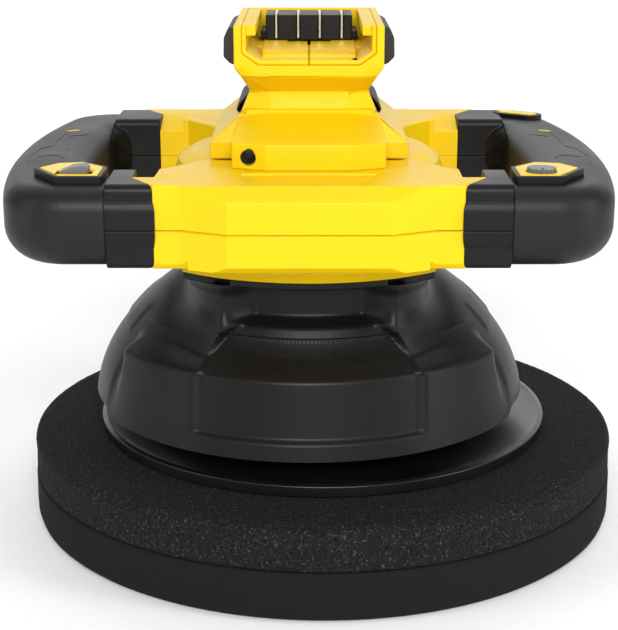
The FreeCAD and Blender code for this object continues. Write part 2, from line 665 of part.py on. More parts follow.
def body_solid(shrink=0.0):
    """Outer form of both shells, or the hollow inside them for a positive shrink."""
    s = shrink
    half = joined(
        prism(bar_half(s), BAR_FOOT_Z + s, BODY_TOP_Z - s),
        prism(rear_half(s), BAR_FOOT_Z + s, BODY_TOP_Z - s),
    )
    half = inside_joints(half) if s == 0 else half
    slope = 5.7
    brow = side_prism([(-BULGE_Y - 1 + s, BODY_TOP_Z - slope - s),
        (-BULGE_Y + 8 + s, BODY_TOP_Z + 1 - s),
                       (-BULGE_Y - 1 + s, BODY_TOP_Z + 1 - s)], -60, BAR_HALF_X)
    chin = side_prism([(-BULGE_Y - 1 + s, BAR_FOOT_Z + 3.5 + s), (-BULGE_Y + 4 + s, BAR_FOOT_Z - 1 + s),
                       (-BULGE_Y - 1 + s, BAR_FOOT_Z - 1 + s)], -60, 100)
    lip = side_prism([(-BAR_OUTER_Y - 1 + s, BAR_FOOT_Z + 3.5 + s),
        (-BAR_OUTER_Y + 2.5 + s, BAR_FOOT_Z - 1 + s),
                      (-BAR_OUTER_Y - 1 + s, BAR_FOOT_Z - 1 + s)], -60, 100)
    inner = side_prism([(-BAR_INNER_Y - 17.5 - s, BODY_TOP_Z + 1 - s),
        (-BAR_INNER_Y - 17.5 - s, BODY_TOP_Z - s),
                        (-BAR_INNER_Y + 1 - s, BODY_TOP_Z - 5.5 - s), (-BAR_INNER_Y + 1 - s,
                            BODY_TOP_Z + 1 - s)], 58, 100)
    for cutter in (brow, chin, lip, inner):
        half = half.cut(cutter).cut(cutter.mirror(V(0, 0, 0), V(0, 1, 0)))
    whole = joined(half, mirrored(half), drum(s))
    return whole.common(block(-200, 200, -200, 200, BAR_FOOT_Z + s, 300))


def make_body():
    w = BODY_WALL
    form = body_solid()
    belly = turned([
        (0, BODY_FOOT_Z), (FLANGE_RADIUS + 1, BODY_FOOT_Z), (FLANGE_RADIUS + 4, BODY_FOOT_Z + 4),
        (FLANGE_RADIUS + 6, BAR_FOOT_Z + 1), (0, BAR_FOOT_Z + 1),
    ]).common(block(-FLANGE_HALF_X, FLANGE_HALF_X, -100, 100, 0, 200))
    throat = neck_column(NECK_HALF_X - 6, NECK_HALF_Y - 6, BODY_FOOT_Z - 1, BAR_FOOT_Z + w + 1)
    hollow = body_solid(w)
    ports = [tongue(sy < 0, 0.0, 40) for sy in (-1, 1)]
    ports += [mirrored(port) for port in ports]
    hollow = hollow.common(block(-52, 52, -200, 200, 0, 300))
    shell = form.fuse(belly).removeSplitter().cut(hollow).cut(throat)
    for port in ports:
        shell = shell.cut(port)
    bosses, screws = [], []
    for x, y in body_screw_places():
        bosses.append(disc(4.6, BAR_FOOT_Z + 0.5, BODY_TOP_Z - 0.5, x, y))
    for x, y in dome_screw_places():
        bosses.append(disc(5.0, BODY_FOOT_Z, BAR_FOOT_Z + 9, x, y))
    shell = shell.multiFuse(bosses)
    for x, y in [*body_screw_places(), *arm_screw_places()]:
        shell = shell.cut(disc(SCREW_DIAMETER / 2 + SCREW_FIT, BAR_FOOT_Z - 1, BODY_TOP_Z - 4, x, y))
        shell = shell.cut(disc(SCREW_HEAD_DIAMETER / 2 + 0.3, BAR_FOOT_Z - 2, BAR_FOOT_Z + 6, x, y))
        screws.append(screw(20.0, BAR_FOOT_Z + 6 - 0.6 * SCREW_DIAMETER, x, y))
    for x, y in dome_screw_places():
        shell = shell.cut(disc(SCREW_DIAMETER / 2 + SCREW_FIT, BODY_FOOT_Z - 1, BAR_FOOT_Z + 7, x, y))
    # the tower's open underside joins the body's top deck
    shell = shell.cut(prism(both_sides([(14, -52), (24, -46), (24, 46), (14, 52)]), BODY_TOP_Z - 6,
        BODY_TOP_Z + 1))
    recess = prism(both_sides([(19, -91.5), (26, -76), (26, -70)]), BODY_TOP_Z - 0.9, BODY_TOP_Z + 1)
    shell = shell.cut(recess)
    lower = shell.common(block(-200, 200, -200, 200, 0, PARTING_Z))
    upper = shell.common(block(-200, 200, -200, 200, PARTING_Z, 300))
    groove = ring_groove(form)
    lower = lower.cut(groove)
    keep("body_lower_shell", max(lower.Solids, key=lambda s: s.Volume))
    keep("body_upper_shell", max(upper.Solids, key=lambda s: s.Volume))
    return screws


def tongue(front, clearance, x_low=TONGUE_TIP_X):
    """The tongue on a right-hand arm that slides into the port in the body's bar."""
    y = (BAR_INNER_Y + BAR_OUTER_Y) / 2 * (-1 if front else 1)
    across, up = TONGUE_HALF_WIDTH - clearance, TONGUE_HALF_HEIGHT - clearance
    return block(x_low, 95, y - across, y + across, PARTING_Z - up, PARTING_Z + up)


def ring_groove(form):
    """A shallow groove round the outside of the parting line, where the two shells meet."""
    slab = block(-200, 200, -200, 200, PARTING_Z - 0.5, PARTING_Z + 0.01)
    inner = body_solid(0.5).common(block(-54, 54, -200, 200, 0, 300))
    core = inner.fuse(block(-100, 100, -BAR_OUTER_Y + 0.5, BAR_OUTER_Y - 0.5, 0, 300))
    return slab.cut(core)


def body_screw_places():
    for sx in (-1, 1):
        for sy in (-1, 1):
            yield sx * 44.0, sy * 82.0


# ---------------------------------------------------------------- handles (the left mirrors the right)
def handle_curve(half_width, outer_y, side_radius, corner_radius):
    """Open plan outline of a U-shaped handle: arm, corner, long side, corner and the other arm."""
    side_x = half_width - side_radius
    corner_y = outer_y - corner_radius
    reach = side_radius - corner_radius
    corner_x = side_x + math.sqrt(reach ** 2 - corner_y ** 2)
    turn = math.atan2(corner_y, corner_x - side_x)
    start = V(20, -outer_y, 0)
    bend_in = V(corner_x, -outer_y, 0)
    half_turn = -math.pi / 2 + (math.pi / 2 - turn) / 2
    bend_mid = V(corner_x + corner_radius * math.cos(half_turn),
        -corner_y + corner_radius * math.sin(half_turn), 0)
    bend_out = V(side_x + side_radius * math.cos(turn), -side_radius * math.sin(turn), 0)

    def back(p):
        return V(p.x, -p.y, 0)

    return [
        Part.makeLine(start, bend_in),
        Part.Arc(bend_in, bend_mid, bend_out).toShape(),
        Part.Arc(bend_out, V(half_width, 0, 0), back(bend_out)).toShape(),
        Part.Arc(back(bend_out), back(bend_mid), back(bend_in)).toShape(),
        Part.makeLine(back(bend_in), back(start)),
    ]


def handle_loop(shrink=0.0):
    """The handle's tube as a rounded solid, taken in by shrink all round."""
    s = shrink
    outer = handle_curve(HANDLE_HALF_WIDTH - s, HANDLE_OUTER_Y - s, HANDLE_SIDE_RADIUS - s,
        HANDLE_CORNER_RADIUS - s)
    inner_side = HANDLE_HALF_WIDTH - HANDLE_TUBE + s
    inner_y = HANDLE_OUTER_Y - HANDLE_TUBE + s
    inner = handle_curve(inner_side, inner_y, HANDLE_SIDE_RADIUS - HANDLE_TUBE + s,
        HANDLE_INNER_CORNER + s)
    first, last = outer[0].Vertexes[0].Point, outer[-1].Vertexes[-1].Point
    inner_first, inner_last = inner[0].Vertexes[0].Point, inner[-1].Vertexes[-1].Point
    wire = Part.Wire([*outer, Part.makeLine(last, inner_last), *reversed(inner),
        Part.makeLine(inner_first, first)])
    low, high = HANDLE_FOOT_Z + s, HANDLE_TOP_Z - s
    face = Part.Face(wire)
    face.translate(V(0, 0, low))
    tube = face.extrude(V(0, 0, high - low))

    def rim(level):
        return lambda e: abs(e.BoundBox.ZMin - level) < 0.01 and e.BoundBox.ZLength < 0.01 and e.BoundBox.XMax > 20.5

    tube = rounded(tube, HANDLE_TOP_ROUND - s, rim(high))
    return rounded(tube, HANDLE_FOOT_ROUND - s, rim(low))


def collar(front):
    """The square hard-plastic end of an arm, next to the body."""
    sign = -1 if front else 1
    y0, y1 = sorted([sign * BAR_OUTER_Y, sign * BAR_INNER_Y])
    x1 = COLLAR_FRONT_X if front else COLLAR_REAR_X
    shape = block(40, x1, y0, y1, BAR_FOOT_Z, BODY_TOP_Z)
    shape = rounded(shape, 3.0, lambda e: e.BoundBox.XLength > 1)
    return shape.cut(prism(joint_outline(front), 0, 300))


def grip_region():
    """The part of the handle that the soft grip covers."""
    front = block(COLLAR_FRONT_X, 300, -200, 0, 0, 300)
    rear = block(COLLAR_REAR_X, 300, 0, 200, 0, 300)
    return front.fuse(rear).removeSplitter()


SWITCH_X, SWITCH_Y = 88.5, -75.5
STRIP_X, STRIP_Y = 99.0, 79.0
STRIP_TOP_Z = 161.4
PLATFORM_TOP_Z = 162.6
BEZEL_THICKNESS = 1.0
PLATFORM_WALL = 2.0


def platform_outline(shrink=0.0):
    s = shrink
    return [(77.5 + s, -84 + s), (95 - s, -84 + s), (105.5 - 1.6 * s, -67), (99 - s, -56.5 - s),
        (88, -54 - s), (77.5 + s, -64 - s)]


def strip_solid(grow, z_low, z_high):
    """A lozenge with round ends that lies along the rear corner of the right handle."""
    length, width = 19.0, 6.5
    r = width / 2 + grow
    bar = block(-length / 2 + width / 2, length / 2 - width / 2, -r, r, z_low, z_high)
    ends = [disc(r, z_low, z_high, side * (length - width) / 2) for side in (-1, 1)]
    shape = joined(bar, *ends)
    shape.rotate(V(0, 0, 0), Z_AXIS, -34)
    shape.translate(V(STRIP_X, STRIP_Y, 0))
    return shape


def arm_screw_places():
    y = (BAR_INNER_Y + BAR_OUTER_Y) / 2
    return [(sx * ARM_SCREW_X, sy * y) for sx in (-1, 1) for sy in (-1, 1)]


def make_handle(side):
    left = side == "left"
    core = handle_loop(GRIP_SKIN).cut(prism(joint_outline(True), 0,
        300)).cut(prism(joint_outline(False), 0, 300))
    core = core.fuse(collar(True)).fuse(collar(False))
    platform = prism(platform_outline(), HANDLE_TOP_Z - 6, PLATFORM_TOP_Z)
    core = core.fuse(platform)
    if not left:
        core = core.fuse(strip_solid(2.6, HANDLE_TOP_Z - 6, STRIP_TOP_Z))
    core = core.removeSplitter()
    void = handle_loop(GRIP_SKIN + HANDLE_WALL)
    for front in (True, False):
        void = void.cut(prism(joint_outline(front, ARM_END_WALL), 0, 300))
    core = core.cut(void)
    for front in (True, False):
        end = tongue(front, TONGUE_CLEARANCE).common(prism(joint_outline(front, ARM_END_WALL - 1),
            0, 300))
        y = end.BoundBox.Center.y
        lead_hole = Part.makeCylinder(2.4, 60, V(40, y, PARTING_Z + 4.0), V(1, 0, 0))
        screw_hole = disc(SCREW_DIAMETER / 2 + SCREW_FIT, BAR_FOOT_Z, BODY_TOP_Z, ARM_SCREW_X, y)
        core = core.fuse(end).cut(lead_hole).cut(screw_hole)
    pocket = prism(platform_outline(PLATFORM_WALL), HANDLE_TOP_Z - 7,
        PLATFORM_TOP_Z - BEZEL_THICKNESS - 1.6)
    core = core.cut(pocket)
    bezel_seat = prism(platform_outline(1.4), PLATFORM_TOP_Z - BEZEL_THICKNESS, PLATFORM_TOP_Z + 1)
    core = core.cut(bezel_seat)
    bezel = prism(platform_outline(1.5), PLATFORM_TOP_Z - BEZEL_THICKNESS, PLATFORM_TOP_Z + 0.2)
    if left:
        opening = block(SWITCH_X - ROCKER_OPENING, SWITCH_X + ROCKER_OPENING, SWITCH_Y - 4.6, SWITCH_Y + 4.6,
            HANDLE_TOP_Z - 9, PLATFORM_TOP_Z + 1)
        make_rocker()
    else:
        opening = disc(DIAL_RADIUS + 0.4, HANDLE_TOP_Z - 9, PLATFORM_TOP_Z + 1, DIAL_X, DIAL_Y)
        make_dial()
        core = core.cut(strip_solid(0.05, STRIP_TOP_Z - 1.2, STRIP_TOP_Z + 1))
        keep("handle_accent_strip", strip_solid(0.0, STRIP_TOP_Z - 1.2, STRIP_TOP_Z + 0.3))
    core = core.cut(opening)
    bezel = bezel.cut(opening)
    grip = handle_loop().cut(handle_loop(GRIP_SKIN)).common(grip_region())
    grip = grip.cut(prism(platform_outline(-0.05), HANDLE_TOP_Z - 12, PLATFORM_TOP_Z + 2))
    if not left:
        grip = grip.cut(strip_solid(2.65, HANDLE_TOP_Z - 12, STRIP_TOP_Z + 2))
    turn = mirrored if left else (lambda s: s)
    upper = core.common(block(0, 300, -200, 200, PARTING_Z, 300))
    lower = core.common(block(0, 300, -200, 200, 0, PARTING_Z))
    keep(f"{side}_handle_upper", turn(max(upper.Solids, key=lambda s: s.Volume)))
    keep(f"{side}_handle_lower", turn(max(lower.Solids, key=lambda s: s.Volume)))
    keep(f"{side}_grip", turn(grip))
    keep(f"{side}_bezel", turn(bezel))


ROCKER_OPENING = 6.95  # half length; the proud end swings 1.3 mm past its rest place
ROCKER_PIVOT_Z = 160.5


def make_rocker():
    """The power rocker, drawn on the right and mirrored to the left. One end stands proud at rest."""
    top = ROCKER_PIVOT_Z + 5.2
    pin_half = 4.9
    pin = Part.makeCylinder(1.2, 2 * pin_half, V(SWITCH_X, SWITCH_Y - pin_half,
        ROCKER_PIVOT_Z - 1.9), V(0, 1, 0))
    keep("power_rocker", mirrored(joined(side_view_rocker(top), pin)))
    roof = PLATFORM_TOP_Z - BEZEL_THICKNESS - 1.6
    housing = block(SWITCH_X - 8, SWITCH_X + 8, SWITCH_Y - 5.8, SWITCH_Y + 5.8, 144.0, roof)
    housing = housing.common(prism(platform_outline(PLATFORM_WALL), 0, 300))
    housing = housing.cut(block(SWITCH_X - ROCKER_OPENING, SWITCH_X + ROCKER_OPENING, SWITCH_Y - 4.6, SWITCH_Y + 4.6,
        154.5, roof + 1))
    seat = 1.2 + RUNNING_CLEARANCE
    bore = Part.makeCylinder(seat, 2 * pin_half + 0.4, V(SWITCH_X, SWITCH_Y - pin_half - 0.2,
        ROCKER_PIVOT_Z - 1.9), V(0, 1, 0))
    keep("power_switch_body", mirrored(housing.cut(bore)))


def side_view_rocker(top):
    """The rocker's outline from the front: a flat end, a hump and a curved underside."""
    half = 5.4
    outline = [
        (-half, ROCKER_PIVOT_Z - 2.2), (-half, top - 1.0), (-half + 1.2, top), (1.0, top - 0.7),
        (half, ROCKER_PIVOT_Z + 2.6), (half, ROCKER_PIVOT_Z - 2.2), (0, ROCKER_PIVOT_Z - 3.6),
    ]
    shape = front_prism(outline, SWITCH_Y - 3.9, SWITCH_Y + 3.9)
    shape.translate(V(SWITCH_X, 0, 0))
    return shape


DIAL_RADIUS = 5.5
DIAL_SHAFT_RADIUS = 2.5
DIAL_X, DIAL_Y = 88.0, -74.5


def make_dial():
    low, high = 157.0, PLATFORM_TOP_Z + 1.6
    knob = disc(DIAL_RADIUS, low, high, DIAL_X, DIAL_Y)
    knob = knob.cut(disc(DIAL_SHAFT_RADIUS + RUNNING_CLEARANCE, low - 1, high - 2, DIAL_X, DIAL_Y))
    notches = 18
    for i in range(notches):
        a = 2 * math.pi * i / notches
        knob = knob.cut(disc(0.45, high - 2.2, high + 1, DIAL_X + DIAL_RADIUS * math.cos(a),
            DIAL_Y + DIAL_RADIUS * math.sin(a)))
    pointer = block(DIAL_X - 0.5, DIAL_X + 0.5, DIAL_Y - 4.3, DIAL_Y - 1.2, high - 0.5, high + 1)
    keep("speed_dial", knob.cut(pointer))
    roof = PLATFORM_TOP_Z - BEZEL_THICKNESS - 1.6
    top = low - SIDE_CLEARANCE
    pieces = [
        block(DIAL_X - 5.5, DIAL_X + 5.5, DIAL_Y - 5.5, DIAL_Y + 5.5, 146.5, top),
        disc(DIAL_RADIUS + 2.2, top - 1.6, top, DIAL_X, DIAL_Y),
        disc(DIAL_SHAFT_RADIUS, top - 1, high - 2.2, DIAL_X, DIAL_Y),
    ]
    for i in range(4):
        a = math.pi / 2 * i
        x, y = DIAL_X + 6.9 * math.cos(a), DIAL_Y + 6.9 * math.sin(a)
        pieces.append(disc(0.75, top - 1, roof, x, y))
    keep("dial_potentiometer", joined(*pieces).common(prism(platform_outline(PLATFORM_WALL), 0, 300)))


# ---------------------------------------------------------------- battery tower
def tower_outline(front_x, front_y, side_x, side_y, back_y=None):
    back = -front_y if back_y is None else back_y
    back_side = -side_y if back_y is None else back_y - (side_y - front_y)
    return both_sides([(front_x, front_y), (side_x, side_y), (side_x, back_side), (front_x, back)])


def make_tower():
    base = tower_outline(16.7, -66.0, 30.0, -60.0)
    neck_low = tower_outline(15.5, -33.0, 27.2, -30.0)
    neck_high = tower_outline(15.5, -32.0, 23.8, -29.0)
    head_foot = tower_outline(21.3, HEAD_FRONT_Y, 27.0, HEAD_FRONT_Y + 2.0, HEAD_BACK_Y)
    head_side = tower_outline(21.3, HEAD_FRONT_Y, HEAD_HALF_X, HEAD_FRONT_Y + 0.6, HEAD_BACK_Y)
    deck = BODY_TOP_Z - 0.5
    sections = [
        (BODY_TOP_Z, base), (TOWER_BASE_TOP_Z, base), (NECK_LOW_Z, neck_low), (NECK_HIGH_Z, neck_high),
        (HEAD_FOOT_Z, head_foot), (HEAD_FOOT_Z + 3.5, head_side), (HEAD_TOP_Z, head_side),
    ]
    pieces = [faceted([a, b]) for a, b in zip(sections, sections[1:])]
    wing = both_sides([(39.6, -40.0), (39.6, 40.0)])
    wing_top = both_sides([(25.0, -34.0), (25.0, 34.0)])
    pieces.append(prism(wing, BODY_TOP_Z, 168.0))
    pieces.append(faceted([(168.0, wing), (180.0, wing_top)]))
    tower = joined(*pieces)
    bay = front_prism(bay_outline(), HEAD_FRONT_Y - 5, HEAD_BACK_Y - 3.5)
    tower = tower.cut(bay)
    motor_space = disc(MOTOR_DIAMETER / 2 + 1.2, BODY_TOP_Z - 1, MOTOR_TOP + 2.5)
    wires = block(-12, 12, -24, 24, MOTOR_TOP - 8, BAY_FLOOR_Z + 5)
    tower = tower.cut(motor_space).cut(wires)
    lighten = prism(both_sides([(13, -58), (22, -54), (22, -27), (13, -27)]), BODY_TOP_Z - 1,
        TOWER_BASE_TOP_Z - 3)
    tower = tower.cut(lighten).cut(lighten.mirror(V(0, 0, 0), V(0, 1, 0)))
    screws = []
    for x, y in tower_screw_places():
        direction = V(0, 1 if y < 0 else -1, 0)
        bore = Part.makeCylinder(3.0, 7.0, V(x, y, TOWER_SCREW_Z), direction)
        tower = tower.cut(bore)
        head = Part.makeCylinder(2.9, 2.2, V(x, y + 4.8 * direction.y, TOWER_SCREW_Z), direction)
        cross = block(x - 1.8, x + 1.8, -0.5, 0.5, TOWER_SCREW_Z - 0.5, TOWER_SCREW_Z + 0.5)
        cross = cross.fuse(block(x - 0.5, x + 0.5, -0.5, 0.5, TOWER_SCREW_Z - 1.8, TOWER_SCREW_Z + 1.8))
        cross.translate(V(0, y + 4.8 * direction.y, 0))
        screws.append(head.cut(cross))
    keep("tower_housing", max(tower.Solids, key=lambda s: s.Volume))
    keep("tower_screws", *screws)


TOWER_SCREW_Z = 165.5


def tower_screw_places():
    return [(-23.5, -64.5), (23.5, 64.5)]


def bay_outline(shrink=0.0):
    s = shrink
    return [
        (-BAY_HALF_X + s, HEAD_TOP_Z + 5), (-BAY_HALF_X + s, BAY_FLOOR_Z + 4.5), (-20 + s,
            BAY_FLOOR_Z + s),
        (20 - s, BAY_FLOOR_Z + s), (BAY_HALF_X - s, BAY_FLOOR_Z + 4.5), (BAY_HALF_X - s,
            HEAD_TOP_Z + 5),
    ]


def make_battery_bay():
    back = HEAD_BACK_Y - 3.5
    front = HEAD_FRONT_Y + 1.5
    thin = 1.8
    seam = 0.12
    liner = [
        (seam, BAY_FLOOR_Z), (20, BAY_FLOOR_Z), (BAY_HALF_X, BAY_FLOOR_Z + 4.5), (BAY_HALF_X,
            HEAD_TOP_Z - 0.2),
        (BAY_HALF_X - RAIL_WIDTH, HEAD_TOP_Z - 0.2), (BAY_HALF_X - RAIL_WIDTH,
            HEAD_TOP_Z - RAIL_HEIGHT),
        (BAY_HALF_X - thin, HEAD_TOP_Z - RAIL_HEIGHT), (BAY_HALF_X - thin, BAY_FLOOR_Z + 5.4),
        (20 - 0.6, BAY_FLOOR_Z + thin), (seam, BAY_FLOOR_Z + thin),
    ]
    right = front_prism(liner, front, back)
    lead_in = block(BAY_HALF_X - RAIL_WIDTH - 1, BAY_HALF_X - thin, front - 1, front + 3.5,
        HEAD_TOP_Z - RAIL_HEIGHT - 0.5, HEAD_TOP_Z + 1)
    right = right.cut(lead_in)
    step = block(seam, 18.6, front + 9, front + 17, BAY_FLOOR_Z + thin, BAY_FLOOR_Z + thin + 1.3)
    ledge = block(seam, 19.2, front + 17, back, BAY_FLOOR_Z + thin, BAY_FLOOR_Z + thin + 2.2)
    right = joined(right, step, ledge)
    wires = block(-9, 9, -4, 30, BAY_FLOOR_Z - 3, BAY_FLOOR_Z + 6)
    right = right.cut(wires)
    for y in (front + 4,):
        right = right.cut(block(10.5, 17.0, y, y + 1.6, BAY_FLOOR_Z - 1, BAY_FLOOR_Z + 3))
    keep("battery_rail_right", right)
    keep("battery_rail_left", mirrored(right))
    block_low = BAY_FLOOR_Z + thin + 2.2
    block_top = block_low + 6.0
    block_front = -12.0
    body = joined(
        block(-18, 18, block_front, back - 1.0, block_low, block_low + 2.6),
        block(-16, 16, block_front + 1.6, back - 1.0, block_low + 2.6, block_top),
    )
    blades = []
    for i in range(BLADE_COUNT):
        x = (i - (BLADE_COUNT - 1) / 2) * BLADE_PITCH
        slot = block(x - 0.45, x + 0.45, block_front - 1, back - 6, block_low + 1.0, block_top + 1)
        body = body.cut(slot)
        blades.append(block(x - 0.4, x + 0.4, block_front + 0.2, back - 6.1, block_low + 1.0,
            block_top + 0.6))
    notch = block(-2.4, 2.4, back - 7, back, block_top - 1.6, block_top + 2)
    body = body.cut(notch)
    keep("terminal_block", body)
    keep("terminal_blades", *blades)


def make_bumpers():
    top = [
        (HEAD_HALF_X, 212.5), (32.6, 211.2), (34.2, 207.5), (34.4, 200.0), (32.0,
            197.6), (HEAD_HALF_X + 0.9, 196.8),
    ]
    low = [(24.8, 187.0), (26.6, 184.5), (30.0, 181.2), (31.2, 178.4), (28.6, 175.0)]
    upper = front_prism([*top, (HEAD_HALF_X, 197.5)], -27, 24)
    link = front_prism([(HEAD_HALF_X + 0.9, 197.6), (24.8, 187.0), (23.8, 187.0), (28.9, 197.4),
        (HEAD_HALF_X, 197.8)], -24, 22)
    lower = front_prism([*low, (26.0, 176.0), (23.8, 187.0)], -24, 22)
    solid = joined(upper, link, lower).cut(parts["tower_housing"])
    keep("side_bumper_right", max(solid.Solids, key=lambda s: s.Volume))
    keep("side_bumper_left", mirrored(max(solid.Solids, key=lambda s: s.Volume)))


# ---------------------------------------------------------------- electronics
def make_electronics():
    board_z = BAR_FOOT_Z + BODY_WALL
    board = block(-20, 20, 64, 84, board_z, board_z + 1.6)
    keep("speed_board", board)
    sink = block(-14, -2, 68, 80, board_z + 1.6, board_z + 9)
    for i in range(3):
        sink = sink.cut(block(-12.4 + 3.4 * i, -10.8 + 3.4 * i, 60, 90, board_z + 4, board_z + 10))
    keep("transistor_heat_sink", sink)


def main():
    make_pad()
    make_backing_plate()
    make_spindle()
    make_counterweight()
    make_gear_train()
    make_gear_case()
    make_motor()
    keep("housing_screws", *make_dome(), *make_body())
    make_handle("right")
    make_handle("left")
    make_tower()
    make_battery_bay()
    make_bumpers()
    make_electronics()
    os.makedirs("parts", exist_ok=True)
    for name, shape in parts.items():
        shape.exportStep(f"parts/{name}.step")
        box = shape.BoundBox
        print(f"{name:24s} solids {len(shape.Solids)} valid {shape.isValid()} volume {shape.Volume:10.1f} "
              f"z {box.ZMin:.1f} to {box.ZMax:.1f}")


main()
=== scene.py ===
# %% [markdown]
# # A cordless random-orbit polisher
# The real tool is a heap of moulded shells on a foam pad. Its measured shape comes from the CAD frame,
# so every number that says where something is starts from that frame and not from a guess.
# This first cell loads the frame.

# %% Load the frame
import json
import math
import bmesh
import bpy
from mathutils import Matrix, Vector, noise


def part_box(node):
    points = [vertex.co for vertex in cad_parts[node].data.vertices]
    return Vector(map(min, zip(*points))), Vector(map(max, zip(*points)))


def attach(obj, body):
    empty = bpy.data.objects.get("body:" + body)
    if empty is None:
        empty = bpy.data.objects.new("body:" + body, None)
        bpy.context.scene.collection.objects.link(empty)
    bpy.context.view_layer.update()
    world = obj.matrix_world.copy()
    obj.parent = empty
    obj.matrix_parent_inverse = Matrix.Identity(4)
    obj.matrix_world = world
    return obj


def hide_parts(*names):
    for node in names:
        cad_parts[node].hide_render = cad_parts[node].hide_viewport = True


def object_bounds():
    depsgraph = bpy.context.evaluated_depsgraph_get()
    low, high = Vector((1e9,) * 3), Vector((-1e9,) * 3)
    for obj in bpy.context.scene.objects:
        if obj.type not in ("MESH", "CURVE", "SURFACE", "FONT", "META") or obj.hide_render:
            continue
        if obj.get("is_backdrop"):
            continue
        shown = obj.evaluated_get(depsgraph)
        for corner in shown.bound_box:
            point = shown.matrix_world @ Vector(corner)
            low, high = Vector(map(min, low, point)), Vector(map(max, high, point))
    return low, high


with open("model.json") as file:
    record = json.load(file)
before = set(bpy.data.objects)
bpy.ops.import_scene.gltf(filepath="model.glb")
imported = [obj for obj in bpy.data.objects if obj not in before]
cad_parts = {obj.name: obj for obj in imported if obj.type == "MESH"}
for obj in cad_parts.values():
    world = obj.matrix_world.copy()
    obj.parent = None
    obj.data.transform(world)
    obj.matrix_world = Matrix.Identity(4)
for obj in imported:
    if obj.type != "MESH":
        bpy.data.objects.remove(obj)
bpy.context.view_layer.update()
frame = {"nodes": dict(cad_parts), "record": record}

MM = 0.001
record = frame["record"]
node_slot = {row["node"]: row["material_slot"] for row in record["subparts"]}
node_body = {name: body for body, names in record["behaviour"]["bodies"].items() for name in names}

# %% [markdown]
# ## Camera
# The view is a little above the tool, looking at the side that the battery slides in from.
# A long lens keeps the pad's ellipse as flat as it looks from across a workshop bench.
# The camera comes first, so that every later piece can be judged through it.

# %% Camera
LENS_MM, SENSOR_MM = 86.73, 36.0
CAMERA_BACK, CAMERA_HIGH = 0.6406, 0.2717
LOOK_DOWN_DEG = 16.31

camera_data = bpy.data.cameras.new("bench_camera")
camera_data.lens = LENS_MM
camera_data.sensor_width = SENSOR_MM
camera = bpy.data.objects.new("bench_camera", camera_data)
camera.location = (0.0, -CAMERA_BACK, CAMERA_HIGH)
camera.rotation_euler = (math.radians(90 - LOOK_DOWN_DEG), 0.0, 0.0)
bpy.context.scene.collection.objects.link(camera)
bpy.context.scene.camera = camera
print("camera stands", round(-camera.location.y / MM), "mm in front of the drive axis")

# %% [markdown]
# ## How a material is written
# Blender stores colour as linear light, but a colour card or a hex code is sRGB, so one function converts.
# A second small function adds any node: plain values go to its sockets, and a pair of a node and the name
# of its output becomes a link. Every finish below is written with these two.

# %% Colour and node helpers
def colour(code):
    """An sRGB hex colour as the linear colour that a shader works with."""
    parts = [int(code[i:i + 2], 16) / 255 for i in (1, 3, 5)]
    return [c / 12.92 if c <= 0.04045 else ((c + 0.055) / 1.055) ** 2.4 for c in parts] + [1.0]


def add(tree, kind, sockets=None, stops=None, **settings):
    """Adds one node. sockets maps an input's name or number to a value, or to (node, output name)."""
    node = tree.nodes.new(kind)
    for name, value in settings.items():
        setattr(node, name, value)
    for name, value in (sockets or {}).items():
        if isinstance(value, tuple) and isinstance(value[0], bpy.types.Node):
            tree.links.new(value[0].outputs[value[1]], node.inputs[name])
        else:
            node.inputs[name].default_value = value
    if stops:
        ramp = node.color_ramp
        ramp.elements.remove(ramp.elements[-1])
        for place, code in stops:
            stop = ramp.elements[0] if place == stops[0][0] else ramp.elements.new(place)
            stop.position, stop.color = place, colour(code)
    return node


def new_material(name):
    """An empty material with its Object coordinates and its Principled shader ready to be linked."""
    material = bpy.data.materials.new(name)
    material.use_nodes = True
    tree = material.node_tree
    tree.nodes.clear()
    where = add(tree, "ShaderNodeTexCoord")
    shader = add(tree, "ShaderNodeBsdfPrincipled")
    add(tree, "ShaderNodeOutputMaterial", {"Surface": (shader, "BSDF")})
    return material, tree, where, shader


def per_metre(size_mm):
    """The texture scale that gives one cell or wave every size_mm."""
    return 1.0 / (size_mm * MM)


print("black is", [round(c, 4) for c in colour("#2b2b2c")])

# %% [markdown]
# ## Moulded plastics and rubbers
# ABS, nylon and the soft grip elastomer all come from steel moulds, and the mould's etched texture prints on them.
# What the eye sees is an even colour, a soft highlight broken up by a fine grain, and slow changes of shade
# where the plastic cooled at different speeds. The grain is a bump, and a wider noise moves colour and gloss.
# A real etched grain is about 0.1 mm, too fine to show, so it is drawn six to fifteen times coarser.

# %% Moulded plastics
COOLING_PATCH_MM = 35.0


